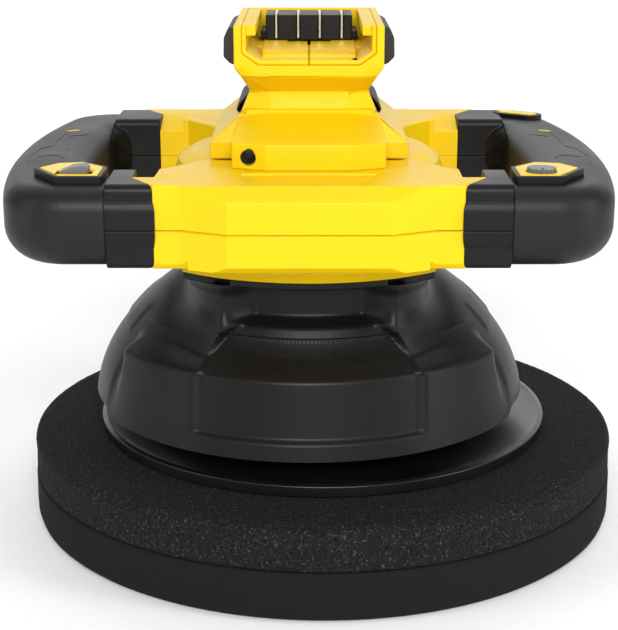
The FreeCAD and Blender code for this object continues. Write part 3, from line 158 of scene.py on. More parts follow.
def moulded(name, base, shade, roughness, grain_mm, depth_mm, specular=0.5):
    """A moulded polymer. shade is the second colour that a slow noise mixes in."""
    material, tree, where, shader = new_material(name)
    flow = add(tree, "ShaderNodeTexNoise", {"Vector": (where, "Object"), "Detail": 3.0,
                                            "Scale": per_metre(COOLING_PATCH_MM), "Roughness": 0.55})
    tint = add(tree, "ShaderNodeMix", {0: (flow, "Fac"), 6: colour(base), 7: colour(shade)},
               data_type="RGBA")
    grain = add(tree, "ShaderNodeTexNoise", {"Vector": (where, "Object"), "Scale": per_metre(grain_mm),
                                             "Detail": 2.0, "Roughness": 0.6})
    gloss = add(tree, "ShaderNodeMapRange", {"Value": (flow, "Fac"), "From Min": 0.3, "From Max": 0.7,
                                             "To Min": roughness - 0.04, "To Max": roughness + 0.05})
    relief = add(tree, "ShaderNodeBump", {"Height": (grain, "Fac"), "Strength": 0.35,
                                          "Distance": depth_mm * MM})
    tree.links.new(tint.outputs[2], shader.inputs["Base Color"])
    tree.links.new(gloss.outputs["Result"], shader.inputs["Roughness"])
    tree.links.new(relief.outputs["Normal"], shader.inputs["Normal"])
    shader.inputs["Specular IOR Level"].default_value = specular
    return material


finish = {
    # Yellow ABS: saturated body colour, satin skin that gives broad soft highlights.
    "yellow_housing": moulded("yellow_abs", "#e8c206", "#e4bb05", 0.4, 0.7, 0.03, specular=0.22),
    # The same ABS polished: the inlays on the handles shine a little more.
    "yellow_trim": moulded("polished_yellow_abs", "#eccb0c", "#e8c30a", 0.3, 1.2, 0.02, specular=0.15),
    # Black ABS with a spark-eroded skin: dark, with wide grey highlights.
    "black_housing": moulded("black_abs", "#0f0f10", "#151516", 0.4, 0.6, 0.05, specular=0.2),
    # Soft-touch elastomer: a touch lighter and nearly matt.
    "grip_rubber": moulded("soft_touch_elastomer", "#141415", "#19191a", 0.47, 0.8, 0.06, specular=0.27),
    # Solid rubber of the bumpers: a little warmer than the elastomer and rougher, so its highlights are dull.
    "bumper_rubber": moulded("moulded_rubber", "#171612", "#1c1b17", 0.6, 0.9, 0.08),
    # Grey nylon of the rocker and the dial: mid grey, so both stand out on the dark handle.
    "grey_control": moulded("grey_nylon", "#5d5d5f", "#676769", 0.4, 0.6, 0.03),
    # Black nylon of the terminal fingers: the darkest plastic, so the blades read bright between them.
    # The same black nylon also paints shade: the grooves on the grips, the drain slots and the screw wells.
    "black_nylon": moulded("black_nylon", "#08080a", "#0d0d0e", 0.45, 0.7, 0.05, specular=0.25),
    # Glass-filled polypropylene of the backing plate: near black, polished in the mould.
    "plate_plastic": moulded("glossy_black_polypropylene", "#09090a", "#0e0e0f", 0.32, 1.5, 0.02),
}
print(len(finish), "moulded finishes")

# %% [markdown]
# ## Metals
# A metal's colour lives in its reflection, so metallic is 1 and the base colour is the tint of the mirror image.
# How it was made shows in the roughness: cast metal has a grainy skin, turned steel has fine rings,
# and sintered gears look like pressed sand. One recipe takes a grain size and a depth for each of them.

# %% Metals
def metal(name, base, shade, roughness, grain_mm, depth_mm, stretch=(1.0, 1.0, 1.0)):
    """A bare metal. stretch squeezes the grain along an axis, as turning and drawing do."""
    material, tree, where, shader = new_material(name)
    place = add(tree, "ShaderNodeMapping", {"Vector": (where, "Object"), "Scale": stretch})
    grain = add(tree, "ShaderNodeTexNoise", {"Vector": (place, "Vector"), "Scale": per_metre(grain_mm),
                                             "Detail": 4.0, "Roughness": 0.65})
    tint = add(tree, "ShaderNodeMix", {0: (grain, "Fac"), 6: colour(base), 7: colour(shade)},
               data_type="RGBA")
    gloss = add(tree, "ShaderNodeMapRange", {"Value": (grain, "Fac"), "From Min": 0.3, "From Max": 0.7,
                                             "To Min": roughness * 0.8, "To Max": roughness * 1.25})
    relief = add(tree, "ShaderNodeBump", {"Height": (grain, "Fac"), "Strength": 0.4,
                                          "Distance": depth_mm * MM})
    tree.links.new(tint.outputs[2], shader.inputs["Base Color"])
    tree.links.new(gloss.outputs["Result"], shader.inputs["Roughness"])
    tree.links.new(relief.outputs["Normal"], shader.inputs["Normal"])
    shader.inputs["Metallic"].default_value = 1.0
    return material


finish.update({
    # Plated contact strip: pale and warm, with faint lines along the drawing direction.
    "contact_metal": metal("nickel_plated_bronze", "#d6d0c0", "#c2bba6", 0.3, 3.0, 0.003, (1, 0.1, 1)),
    # Turned steel of shafts and bearings: fine rings round the axis.
    "steel": metal("turned_steel", "#b9bcbf", "#9fa3a7", 0.3, 0.5, 0.01, (0.2, 0.2, 1)),
    # Zinc plating: a bluish grey with a cloudy spangle.
    "zinc_steel": metal("zinc_plated_steel", "#b7bbc0", "#a3a49a", 0.33, 1.6, 0.01),
    # Black oxide on screws: nearly black, with a dull metal glint.
    "black_screw": metal("black_oxide_steel", "#2c2d2f", "#232427", 0.42, 0.6, 0.02),
    # Die-cast aluminium: a soft grey skin with visible grain.
    "cast_aluminium": metal("die_cast_aluminium", "#a6a8aa", "#8e9093", 0.48, 0.9, 0.06),
    # Sintered gears: pressed powder, dark grey and fine as sand.
    "sintered_steel": metal("sintered_steel", "#7c7e80", "#626466", 0.5, 0.35, 0.03),
    # Grey iron of the counterweight: the roughest and darkest of the castings.
    "counterweight_iron": metal("grey_cast_iron", "#5b5a58", "#474644", 0.6, 1.1, 0.09),
    # Enamelled winding wire: copper that shines through a clear brown varnish.
    "copper": metal("enamelled_copper", "#c1703c", "#a4572b", 0.3, 0.4, 0.04, (1, 1, 4)),
    # Drawn brass of the brush boxes: yellow, with lines along its length.
    "brass": metal("drawn_brass", "#cda95a", "#b48f44", 0.3, 0.7, 0.01, (1, 0.15, 1)),
})
print(len(finish), "finishes so far")

# %% [markdown]
# ## Ceramics, carbon, hook fabric and the circuit board
# These sit inside the tool, but each still gets its own skin, because a later view may cut the housing away.
# The hook fabric is a felt of tiny loops, so a cell texture stands for the loops and gives the bump.

# %% Inner finishes
def cells(name, base, light, cell_mm, depth_mm, roughness, specular=0.3):
    """Matt stuff made of small cells: loops, pressed powder or a printed board."""
    material, tree, where, shader = new_material(name)
    pores = add(tree, "ShaderNodeTexVoronoi", {"Vector": (where, "Object"), "Scale": per_metre(cell_mm)})
    tint = add(tree, "ShaderNodeMix", {0: (pores, "Distance"), 6: colour(base), 7: colour(light)},
               data_type="RGBA")
    relief = add(tree, "ShaderNodeBump", {"Height": (pores, "Distance"), "Strength": 0.6,
                                          "Distance": depth_mm * MM})
    tree.links.new(tint.outputs[2], shader.inputs["Base Color"])
    tree.links.new(relief.outputs["Normal"], shader.inputs["Normal"])
    shader.inputs["Roughness"].default_value = roughness
    shader.inputs["Specular IOR Level"].default_value = specular
    return material


finish.update({
    # Felt of nylon loops: soft, dark, without any shine.
    "hook_fabric": cells("looped_hook_fabric", "#141414", "#303030", 0.9, 0.4, 0.95, 0.1),
    # Ferrite magnets: charcoal grey ceramic with a dull, even face.
    "ferrite": cells("ferrite_magnet", "#2c2c2e", "#3a3a3c", 0.5, 0.03, 0.6),
    # Motor brushes: pressed carbon, black with a slight graphite sheen.
    "carbon": cells("pressed_carbon", "#232323", "#38383a", 0.4, 0.03, 0.5),
    # Board under green solder resist: mottled green, fairly glossy.
    "circuit_board": cells("green_circuit_board", "#17402a", "#2c5f3f", 2.4, 0.05, 0.35),
})
print(len(finish), "finishes")

# %% [markdown]
# ## Open-cell foam
# The pad is two sheets of polyurethane foam. Foam is a froth whose walls burst as it sets, and what is left is a
# net of struts round pores; the pores are painted dark, a painted shade. On the coarse sheet the pores are drawn 1.9
# mm across and the strut ends that would catch the light are painted as pale specks, a painted highlight; on the
# dense sheet they are under half of that and read as a matt, even grey.
# A cell texture gives the net, a finer noise picks the strut ends that are painted bright, and both together make the
# relief.

# %% Foam finish
def foam(name, pore, strut, strut_glint, pore_mm, depth_mm, glint_share):
    """Polyurethane foam: pores painted dark as shade, grey struts, and a share of strut ends painted bright as
    highlights.
    """
    material, tree, where, shader = new_material(name)
    bend = add(tree, "ShaderNodeTexNoise", {"Vector": (where, "Object"), "Scale": per_metre(pore_mm * 2.5),
                                            "Detail": 2.0})
    shift = add(tree, "ShaderNodeVectorMath", {0: (bend, "Color"), 1: (pore_mm * MM,) * 3},
                operation="MULTIPLY")
    moved = add(tree, "ShaderNodeVectorMath", {0: (where, "Object"), 1: (shift, "Vector")}, operation="ADD")
    froth = add(tree, "ShaderNodeTexVoronoi", {"Vector": (moved, "Vector"), "Scale": per_metre(pore_mm)},
                feature="DISTANCE_TO_EDGE")
    # The ramp paints the pores darker than the struts: painted shade in the pores.
    net = add(tree, "ShaderNodeValToRGB", {"Fac": (froth, "Distance")},
              stops=[(0.0, strut), (0.16, strut), (0.45, pore)])
    sparkle = add(tree, "ShaderNodeTexNoise", {"Vector": (where, "Object"), "Scale": per_metre(pore_mm * 0.55),
                                               "Detail": 2.0, "Roughness": 0.7})
    picked = add(tree, "ShaderNodeMapRange", {"Value": (sparkle, "Fac"), "From Min": 0.74 - glint_share,
                                              "From Max": 0.80 - glint_share * 0.6})
    # The picked strut ends take the pale speck colour: a painted highlight where struts would catch the light.
    tint = add(tree, "ShaderNodeMix", {0: (picked, "Result"), 6: (net, "Color"), 7: colour(strut_glint)},
               data_type="RGBA")
    height = add(tree, "ShaderNodeMath", {0: (froth, "Distance"), 1: (sparkle, "Fac")}, operation="SUBTRACT")
    relief = add(tree, "ShaderNodeBump", {"Height": (height, "Value"), "Strength": 0.8,
                                          "Distance": depth_mm * MM}, invert=True)
    tree.links.new(tint.outputs[2], shader.inputs["Base Color"])
    tree.links.new(relief.outputs["Normal"], shader.inputs["Normal"])
    shader.inputs["Roughness"].default_value = 0.95
    shader.inputs["Specular IOR Level"].default_value = 0.15
    return material


# In each foam the first colour is the pores' painted shade and the third is the strut ends' painted highlight.
finish["coarse_foam"] = foam("coarse_polyurethane_foam", "#080808", "#191919", "#484848", 1.9, 0.7, 0.16)
finish["dense_foam"] = foam("dense_polyurethane_foam", "#121212", "#191919", "#262626", 0.8, 0.2, 0.12)
print("foams:", [m.name for m in (finish["coarse_foam"], finish["dense_foam"])])

# %% [markdown]
# ## The CAD pieces get their finishes
# Every CAD piece takes the material of its slot. The ones inside the housing stay as the CAD has them.
# The ones that show are then replaced, one by one, by pieces with rounded edges and moulded detail.

# %% Finish every CAD piece
for name, node in frame["nodes"].items():
    node.data.materials.clear()
    node.data.materials.append(finish[node_slot[name]])
print("finished", len(frame["nodes"]), "CAD pieces")

# %% [markdown]
# ## Rounded edges on the hard shells
# No moulded edge is sharp: the mould's cutter leaves a small radius, and that radius is the thin bright line
# that makes plastic look solid. The CAD mesh is loose triangles with sharp edges, so a copy is merged, flat
# regions are dissolved back into whole faces, and a Bevel modifier rounds every edge over a set angle.
# Hardened normals keep the big faces flat in the light and leave the curve to the rounding.

# %% Rounded copies
ROUNDING_SEGMENTS = 3
WELD_MM, FLAT_WITHIN_DEG = 0.004, 0.15
SHARP_DEG, CREASE_DEG, CORNER_DEG = 15.0, 17.0, 32.0
WAIST_TUCK_MM, WAIST_TOP_Z = 1.5, 193


def finished_mesh(work, name, smooth=False, sharp_deg=None):
    """Turns a bmesh into a mesh and frees it. Edges sharper than sharp_deg stay sharp in a smooth mesh."""
    mesh = bpy.data.meshes.new(name)
    work.to_mesh(mesh)
    work.free()
    if smooth:
        mesh.shade_smooth()
    if sharp_deg is not None:
        mesh.set_sharp_from_angle(angle=math.radians(sharp_deg))
    return mesh


def own_piece(name, mesh, body, slot_name, nodes=()):
    """Puts a finished mesh in the scene with the material of its slot, under its body, and hides the CAD nodes it
    stands for.
    """
    piece = bpy.data.objects.new(name, mesh)
    bpy.context.scene.collection.objects.link(piece)
    mesh.materials.clear()
    mesh.materials.append(finish[slot_name])
    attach(piece, body)
    if nodes:
        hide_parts(*nodes)
    return piece


def rounding(piece, width_mm, angle):
    """A Bevel modifier on edges sharper than angle, which leaves the faces beside it flat."""
    bevel = piece.modifiers.new("edge_radius", "BEVEL")
    bevel.width = width_mm * MM
    bevel.segments = ROUNDING_SEGMENTS
    bevel.limit_method = "ANGLE"
    bevel.angle_limit = math.radians(angle)
    bevel.use_clamp_overlap = False
    bevel.miter_outer = "MITER_ARC"
    bevel.harden_normals = True
    return piece


def merged_copy(node_name):
    """The CAD node's mesh as one welded bmesh, with its flat regions dissolved into whole faces."""
    work = bmesh.new()
    work.from_mesh(frame["nodes"][node_name].data)
    bmesh.ops.remove_doubles(work, verts=work.verts[:], dist=WELD_MM * MM)
    bmesh.ops.dissolve_limit(work, angle_limit=math.radians(FLAT_WITHIN_DEG), verts=work.verts[:],
                             edges=work.edges[:], use_dissolve_boundaries=False)
    return work


def rounded_copy(node_name, width_mm, angle):
    """Stands for one CAD node with its edges rounded. A bumper's waist is tucked into the tower's neck."""
    work = merged_copy(node_name)
    if node_name.startswith("side_bumper"):
        for vert in work.verts:
            tuck = WAIST_TUCK_MM * MM * (vert.co.z < WAIST_TOP_Z * MM)
            vert.co.x -= math.copysign(tuck, vert.co.x)
    mesh = finished_mesh(work, node_name + "_rounded", smooth=True, sharp_deg=SHARP_DEG)
    piece = own_piece(node_name + "_rounded", mesh, node_body[node_name], node_slot[node_name], [node_name])
    return rounding(piece, width_mm, angle)


edge_radius = {
    "body_lower_shell": 0.4, "body_upper_shell": 0.4, "tower_housing": 0.6,
    "left_handle_upper": 0.5, "right_handle_upper": 0.5, "left_handle_lower": 0.5, "right_handle_lower": 0.5,
    "left_grip": 0.5, "right_grip": 0.5, "left_bezel": 0.35, "right_bezel": 0.35,
    "handle_accent_strip": 0.3, "battery_rail_left": 0.6, "battery_rail_right": 0.6,
    "side_bumper_left": 0.8, "side_bumper_right": 0.8, "power_rocker": 0.4, "speed_dial": 0.15,
    "backing_plate": 0.35,
}
# The body and tower are faceted, with corners as shallow as 17 degrees; round walls elsewhere need a wider angle.
creased = {"body_lower_shell", "body_upper_shell", "tower_housing", "battery_rail_left", "battery_rail_right"}
for name, width in edge_radius.items():
    piece = rounded_copy(name, width, CREASE_DEG if name in creased else CORNER_DEG)
    print(f"{name:22s} {len(piece.data.polygons):6d} faces before rounding")

# %% [markdown]
# ## The black drive cover
# The cover over the eccentric drive is one deep moulding: a round skirt, a raised band with a blank label field,
# a sunken panel with a ledge above it, two bulges that carry the collar, and the collar itself under the body.
# Modelling it face by face would be slow. Instead a closed upright profile is spun once round the drive axis,
# which gives a clean grid of rows and columns, and then each point is moved out or in to the cover's real
# radius at its height and bearing. Soft steps between the regions become the moulding's radii.

# %% Drive cover shape
def step(value, start, end):
    """0 before start, 1 after end, with a smooth rise between them."""
    t = min(1.0, max(0.0, (value - start) / (end - start)))
    return t * t * (3 - 2 * t)


def blend(a, b, share):
    return a + (b - a) * share


def soft_max(a, b, k):
    """The larger of two radii, with a fillet of about k where they are nearly equal."""
    h = max(0.0, k - abs(a - b)) / k
    return max(a, b) + h * h * k * 0.25


def along(points, value):
    """Reads a table of (value, result) pairs, straight between its rows."""
    for (v0, r0), (v1, r1) in zip(points, points[1:]):
        if value <= v1:
            return blend(r0, r1, min(1.0, max(0.0, (value - v0) / (v1 - v0))))
    return points[-1][1]


SKIRT_Z, SHOULDER_Z, COLLAR_Z, COVER_TOP_Z = 52.0, 82.0, 116.4, 119.45
panel_radius = [(82.0, 86.2), (85.0, 81.5), (88.5, 77.0), (92.0, 73.8), (95.0, 71.6), (95.8, 73.2),
                (99.4, 71.2), (100.2, 69.4), (101.0, 64.5), (102.6, 63.0), (115.5, 63.0), (117.0, 63.5)]
panel_half = [(82.0, 43.0), (85.0, 40.8), (96.3, 34.0), (100.4, 24.5), (117.0, 24.5)]


def cover_radius(bearing, z):
    """The cover's outer radius in mm. bearing is 0 at the front and grows to pi at the back."""
    end = min(bearing, math.pi - bearing)
    ball = 93.5 * math.sqrt(max(0.05, 1 - ((z - 45.0) / 76.0) ** 2))
    bulge = blend(77.0, 52.0, step(end, math.radians(25), math.radians(78)))
    bulge -= 2.0 * step(z, 97.0, 106.0) * (1 - step(z, 110.0, 116.5))
    radius = soft_max(ball, bulge, 9.0) if z > 84.0 else ball
    shoulder_end = SHOULDER_Z + 1.2
    if z < shoulder_end + 9.0:
        band = 93.3 - 5.3 * (z - SKIRT_Z) / 30.0
        band -= 12.0 * step(z, SHOULDER_Z - 0.4, shoulder_end + 7.5)
        share = 1 - step(end, math.radians(59.5), math.radians(63.0) + math.radians(4) * step(z, 82.0, 90.0))
        radius = blend(radius, max(band, radius), share)
    side = radius * math.sin(end)
    if z >= SHOULDER_Z:
        half = along(panel_half, z)
        soft = 1.3 if z < 96.0 else 1.3 + 9.0 * step(z, 96.0, 101.0)
        inside = 1 - step(side, half, half + soft)
        radius = blend(radius, along(panel_radius, z), inside)
    elif z > 58.6 and bearing < math.pi / 2:
        recess = step(z, 58.6, 59.8) * (1 - step(side, 43.2, 46.8))
        radius -= 1.8 * recess
    # one low blister on each flank
    flank = step(end, math.radians(70), math.radians(73)) * (1 - step(end, math.radians(84), math.radians(87)))
    radius += 0.6 * flank * step(z, 84.0, 86.0) * (1 - step(z, 95.0, 97.0))
    return radius


def collar_radius(bearing):
    """The collar under the body: a round front, straight flanks and a notch near each corner."""
    end = min(bearing, math.pi - bearing)
    radius = min(77.0, 50.0 / max(0.05, math.sin(end)))
    side = radius * math.sin(end)
    return radius - 3.6 * step(side, 30.5, 33.0) * (1 - step(side, 36.0, 39.0))


# %% [markdown]
# ## Spinning the cover
# The spun profile is a closed loop: up the outer wall, over the collar's top face, and down an inner wall that
# follows the outer one 2.6 mm behind it. Rows are first spun as plain rings, then each row's name says which
# radius its points take. The skirt's lower edge rises at both sides, so the wall rows stretch to meet it.

# %% Spin and shape the drive cover
COLUMNS = 480
ROW_STEP, ROWS, TOP_ROW_Z = 0.8, 79, 115.8
WALL_MM, SKIRT_RISE = 2.6, 3.2

outer = [(SKIRT_Z + ROW_STEP * k) for k in range(ROWS)]
levels = [("wall", z) for z in outer if z < 115.6]
levels += [("wall", TOP_ROW_Z), ("lip", COLLAR_Z - 0.1), ("edge", COLLAR_Z), ("collar", COLLAR_Z + 0.5),
           ("collar", 118.2), ("collar", COVER_TOP_Z - 0.4), ("edge", COVER_TOP_Z), ("top", COVER_TOP_Z)]
levels += [("inside", z) for z in (117.0, 112.0, 106.0, 100.0, 94.0, 88.0, 82.0, 76.0, 70.0, 64.0, 58.0, 52.6)]
work = bmesh.new()
line = [work.verts.new((0.0, -0.09, row * MM)) for row in range(len(levels))]
edges = [work.edges.new((a, b)) for a, b in zip(line, line[1:] + line[:1])]
bmesh.ops.spin(work, geom=line + edges, cent=(0, 0, 0), axis=(0, 0, 1), angle=2 * math.pi, steps=COLUMNS,
               use_merge=True, use_duplicate=False)
for vert in work.verts:
    kind, z = levels[round(vert.co.z / MM)]
    around = Vector((vert.co.x, vert.co.y, 0.0)).normalized()
    bearing = math.acos(max(-1.0, min(1.0, -around.y)))
    end = min(bearing, math.pi - bearing)
    low = SKIRT_Z + SKIRT_RISE * step(end, math.radians(64), math.radians(67))
    if kind == "wall":
        r = cover_radius(bearing, z)
    elif kind == "lip":
        r = cover_radius(bearing, TOP_ROW_Z)
    elif kind == "edge":
        r = collar_radius(bearing) - 0.5
    elif kind == "collar":
        r = collar_radius(bearing)
    elif kind == "top":
        r = 44.5
    else:
        r = min(cover_radius(bearing, min(z + 1.5, 115.0)), cover_radius(bearing, z)) - WALL_MM
        r = max(r, 43.0) if z > 106 else r
    if z < SHOULDER_Z:
        z = low + (z - SKIRT_Z) * (SHOULDER_Z - low) / (SHOULDER_Z - SKIRT_Z)
    vert.co = around * (r * MM) + Vector((0, 0, z * MM))
bmesh.ops.recalc_face_normals(work, faces=work.faces[:])
mesh = finished_mesh(work, "drive_cover", smooth=True, sharp_deg=50)
own_piece("drive_cover", mesh, node_body["dome_housing"], "black_housing", ["dome_housing"])
print("drive cover:", len(mesh.polygons), "faces")

# %% [markdown]
# ## Ribs on the sunken panel
# The panel under the ledge carries a fan of fine slanted ribs and, above them, one row of short dashes. They are
# moulded with the cover. Each is a tiny bevelled bar, made at its own place and turned to lie on the slope there.

# %% Panel ribs
def bar(work, start, end, width, height, lift, outward):
    """One bar between two points in mm, its middle lift outside the line between them."""
    start, end, outward = Vector(start), Vector(end), Vector(outward)
    along_bar = (end - start).normalized()
    across = along_bar.cross(outward).normalized()
    outward = across.cross(along_bar).normalized()
    turn = Matrix((across, along_bar, outward)).transposed().to_4x4()
    middle = (start + end) / 2 + outward * lift
    size = Matrix.Diagonal((width, (end - start).length, height, 1.0))
    place = Matrix.Scale(MM, 4) @ Matrix.Translation(middle) @ turn @ size
    bmesh.ops.create_cube(work, size=1.0, matrix=place)


def on_panel(side, z, facing):
    """The panel's surface point in mm at a side distance and a height. facing is -1 in front and 1 behind."""
    r = along(panel_radius, z)
    return (side, facing * math.sqrt(max(1.0, r * r - side * side)), z)


RIB_PITCH, RIB_LEAN, DASH_Z = 1.5, 2.6, 94.2
work = bmesh.new()
for facing in (-1, 1):
    slope = (0, facing * 0.62, 0.78)
    for i in range(44):
        side = -32.5 + RIB_PITCH * i
        arc = 1 - (side / 36.0) ** 2
        top = 91.8 - 3.2 * max(0.0, arc) * (1 if side < 4 else 0.4)
        foot = top - (4.2 if abs(side) > 8 else 3.0)
        half = along(panel_half, foot) - 2.2
        if abs(side + RIB_LEAN) > half:
            continue
        bar(work, on_panel(side, top, facing), on_panel(side + RIB_LEAN, foot, facing), 0.5, 0.5, 0.1, slope)
    for i in range(19):
        side = -13.5 + RIB_PITCH * i
        bar(work, on_panel(side, DASH_Z, facing), on_panel(side + 0.8, DASH_Z, facing), 0.45, 0.5, 0.1, slope)
bmesh.ops.bevel(work, geom=work.edges[:], offset=0.09 * MM, offset_type="OFFSET", affect="EDGES", segments=1,
                profile=0.5, material=-1, clamp_overlap=True)
mesh = finished_mesh(work, "panel_ribs")
own_piece("panel_ribs", mesh, node_body["dome_housing"], "black_housing")
print("panel ribs:", len(mesh.polygons), "faces")

# %% [markdown]
# ## Battery terminals and the bay floor
# The battery's contacts slide over four plated blades, held in slots between five black nylon fingers.
# The fingers are cubes shaped and bevelled in one bmesh; the blades are thin plates that end in the slots.
# In front of them the bay's floor rises in two yellow steps with a joint down the middle. Before the steps lie two
# drain slots, drawn as thin black plates on the floor: painted shade for their openings.

# %% Battery terminals
def boxes(name, spans, radius_mm, body, slot_name, nodes=(), segments=2):
    """One piece made of boxes, each given as (x0, x1, y0, y1, z0, z1) in mm, with rounded edges."""
    work = bmesh.new()
    for x0, x1, y0, y1, z0, z1 in spans:
        size = Matrix.Diagonal((x1 - x0, y1 - y0, z1 - z0, 1.0))
        middle = Matrix.Translation(((x0 + x1) / 2, (y0 + y1) / 2, (z0 + z1) / 2))
        bmesh.ops.create_cube(work, size=1.0, matrix=Matrix.Scale(MM, 4) @ middle @ size)
    bmesh.ops.bevel(work, geom=work.edges[:], offset=radius_mm * MM, offset_type="OFFSET", affect="EDGES",
                    segments=segments, profile=0.5, material=-1, clamp_overlap=True)
    mesh = finished_mesh(work, name)
    own_piece(name, mesh, body, slot_name, nodes)
    print(f"{name}: {len(mesh.polygons)} faces")


BLADE_X = (-13.9, -4.6, 4.6, 13.9)
TERMINAL_FRONT, TERMINAL_BACK = 12.0, 35.4
fingers = [(-18.3, -14.6), (-13.2, -5.3), (-3.9, 3.9), (5.3, 13.2), (14.6, 18.3)]
spans = [(a, b, TERMINAL_FRONT, TERMINAL_BACK, 202.6, 213.2) for a, b in fingers]
spans += [(-18.3, 18.3, TERMINAL_FRONT + 1.2, TERMINAL_BACK, 202.6, 207.0),
          (-20.6, 20.6, TERMINAL_FRONT + 2.5, TERMINAL_BACK, 203.0, 206.4)]
boxes("terminal_fingers", spans, 0.4, "housing", "black_nylon", ["terminal_block"])
boxes("plated_blades", [(x - 0.45, x + 0.45, TERMINAL_FRONT + 0.3, TERMINAL_BACK - 2, 203.4, 213.4)
                        for x in BLADE_X], 0.1, "housing", "contact_metal", ["terminal_blades"], 1)
boxes("bay_floor_steps", [(s * 13.3 - 12.7, s * 13.3 + 12.7, y0, TERMINAL_FRONT + 6, 198.7, z1)
                          for s in (-1, 1) for y0, z1 in ((-24.0, 200.3), (-4.0, 202.0))],
      0.35, "housing", "yellow_housing")
# Two thin black plates on the bay floor: painted shade of the drain slots' openings.
boxes("drain_slot_shade", [(s * 18.8 - 3.0, s * 18.8 + 3.0, -39.0, -36.4, 198.45, 198.75) for s in (-1, 1)],
      0.1, "housing", "black_nylon", segments=1)

# %% [markdown]
# ## Painted shade of the screw wells in the tower's foot
# Two screws hold the tower down, at opposite corners, each at the bottom of a round well. The wells are not cut;
# the dark round spot of their shade is painted instead, as a flat black disc with a soft edge, turned from a profile
# and set in the foot's wall with a hair of its face showing.

# %% Painted shade of the screw wells
WELL_X, WELL_Y, WELL_Z = 23.0, 64.4, 167.4
work = bmesh.new()
for sign in (-1, 1):
    shade_disc = bmesh.new()
    centre = Vector((sign * WELL_X * MM, sign * WELL_Y * MM, WELL_Z * MM))
    # A black disc whose face stands 0.15 mm proud of the wall: the well's painted shade.
    disc = [(0.0, 0.15), (1.5, 0.15), (1.8, 0.05), (1.9, -1.8), (0.0, -1.8)]
    line = [shade_disc.verts.new((r * MM, 0.0, h * MM)) for r, h in disc]
    bmesh.ops.spin(shade_disc, geom=line + [shade_disc.edges.new(p) for p in zip(line, line[1:])], cent=(0, 0, 0),
                   axis=(0, 0, 1), angle=2 * math.pi, steps=32, use_merge=True, use_duplicate=False)
    bmesh.ops.remove_doubles(shade_disc, verts=shade_disc.verts[:], dist=0.001 * MM)
    turn = Matrix.Rotation(math.radians(-90 * sign), 4, "X")
    bmesh.ops.transform(shade_disc, matrix=Matrix.Translation(centre) @ turn, verts=shade_disc.verts[:])
    part = finished_mesh(shade_disc, "shade_disc_part")
    work.from_mesh(part)
    bpy.data.meshes.remove(part)
bmesh.ops.recalc_face_normals(work, faces=work.faces[:])
mesh = finished_mesh(work, "screw_well_shade", smooth=True)
own_piece("screw_well_shade", mesh, "housing", "black_nylon")
print("screw wells:", len(mesh.polygons), "faces")

# %% [markdown]
# ## Moulded lines on the handles
# Each handle's soft skin has three thin grooves along its top, a yellow dash, and a fan of curved ribs round the
# inside of each corner, where the fingers turn in. They are shallow, so each is a chain of slim bars laid on the
# surface: a groove is a black nylon bar that paints its shadow, a painted shade, and a rib is in the skin's own
# rubber. One handle's lines are written down, and the other handle gets them mirrored.

# %% Handle lines
GRIP_TOP_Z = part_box("right_grip")[1].z / MM
grooves = [[(108.0, 35.2), (109.0, 24.5), (109.3, -0.9), (113.2, -8.1), (114.5, -26.6), (112.6, -40.0)],
           [(100.3, -29.0), (102.6, -23.4), (106.7, -22.2), (110.8, -26.7)],
           [(98.0, 28.6), (105.6, 23.2), (101.2, -9.2)]]
dash = [(103.7, 39.3), (108.2, 36.6)]
rib_fan = [[(88.0, 53.2, 153.2), (85.3, 56.9, 149.7), (83.8, 58.6, 145.7), (83.9, 58.6, 141.4)],
           [(88.8, 51.3, 153.5), (86.2, 55.6, 150.0), (84.7, 57.6, 145.8), (84.9, 57.5, 141.6)],
           [(89.5, 48.8, 153.9), (87.1, 54.0, 150.2), (85.7, 56.4, 146.1), (85.8, 56.3, 141.9)],
           [(87.9, 52.1, 150.6), (86.5, 55.0, 146.3), (86.7, 54.8, 142.1)],
           [(88.6, 49.4, 151.0), (87.4, 53.3, 146.6), (87.5, 53.0, 142.5)],
           [(89.2, 45.8, 151.7), (88.2, 51.1, 147.0), (88.3, 50.7, 142.9)]]


def chain(work, points, width, height, lift, outward):
    """A line of bars through the points."""
    for start, end in zip(points, points[1:]):
        bar(work, start, end, width, height, lift, outward)


for side, sign in (("right", 1), ("left", -1)):
    work = bmesh.new()
    # Black nylon bars along each groove: the groove's painted shadow.
    for points in grooves:
        chain(work, [(sign * x, y, GRIP_TOP_Z) for x, y in points], 0.7, 0.3, 0.0, (0, 0, 1))
    mesh = finished_mesh(work, side + "_groove_shadow_bars")
    own_piece(side + "_groove_shadow_bars", mesh, "housing", "black_nylon")
    work = bmesh.new()
    chain(work, [(sign * x, y, GRIP_TOP_Z) for x, y in dash], 1.5, 0.5, 0.05, (0, 0, 1))
    mesh = finished_mesh(work, side + "_grip_dash")
    own_piece(side + "_grip_dash", mesh, "housing", "yellow_trim")
    work = bmesh.new()
    for end, proud in ((1, 0.0), (-1, 1.1)):
        outward = Vector((-0.87, -0.47 * end, 0.0))
        for points in rib_fan:
            placed = [(Vector((x, y * end, z)) + outward * proud) for x, y, z in points]
            chain(work, [(sign * p.x, p.y, p.z) for p in placed], 0.45, 0.7, 0.0,
                  (sign * outward.x, outward.y, 0.0))
    mesh = finished_mesh(work, side + "_finger_ribs")
    own_piece(side + "_finger_ribs", mesh, "housing", "grip_rubber")
    print(side, "handle lines:", len(mesh.polygons), "rib faces")

# %% [markdown]
# ## The foam pad
# Two round sheets of foam, glued together. A foam disc cut on a lathe has a soft rim, never a sharp one, and its
# surface is pitted all over. Each sheet is a profile turned into a solid with spin, dense enough to carry pits,
# and then every point is moved a little inwards by a noise of two sizes: the pits are real geometry.
# No cloth simulation is needed, because foam is a block that holds its shape.

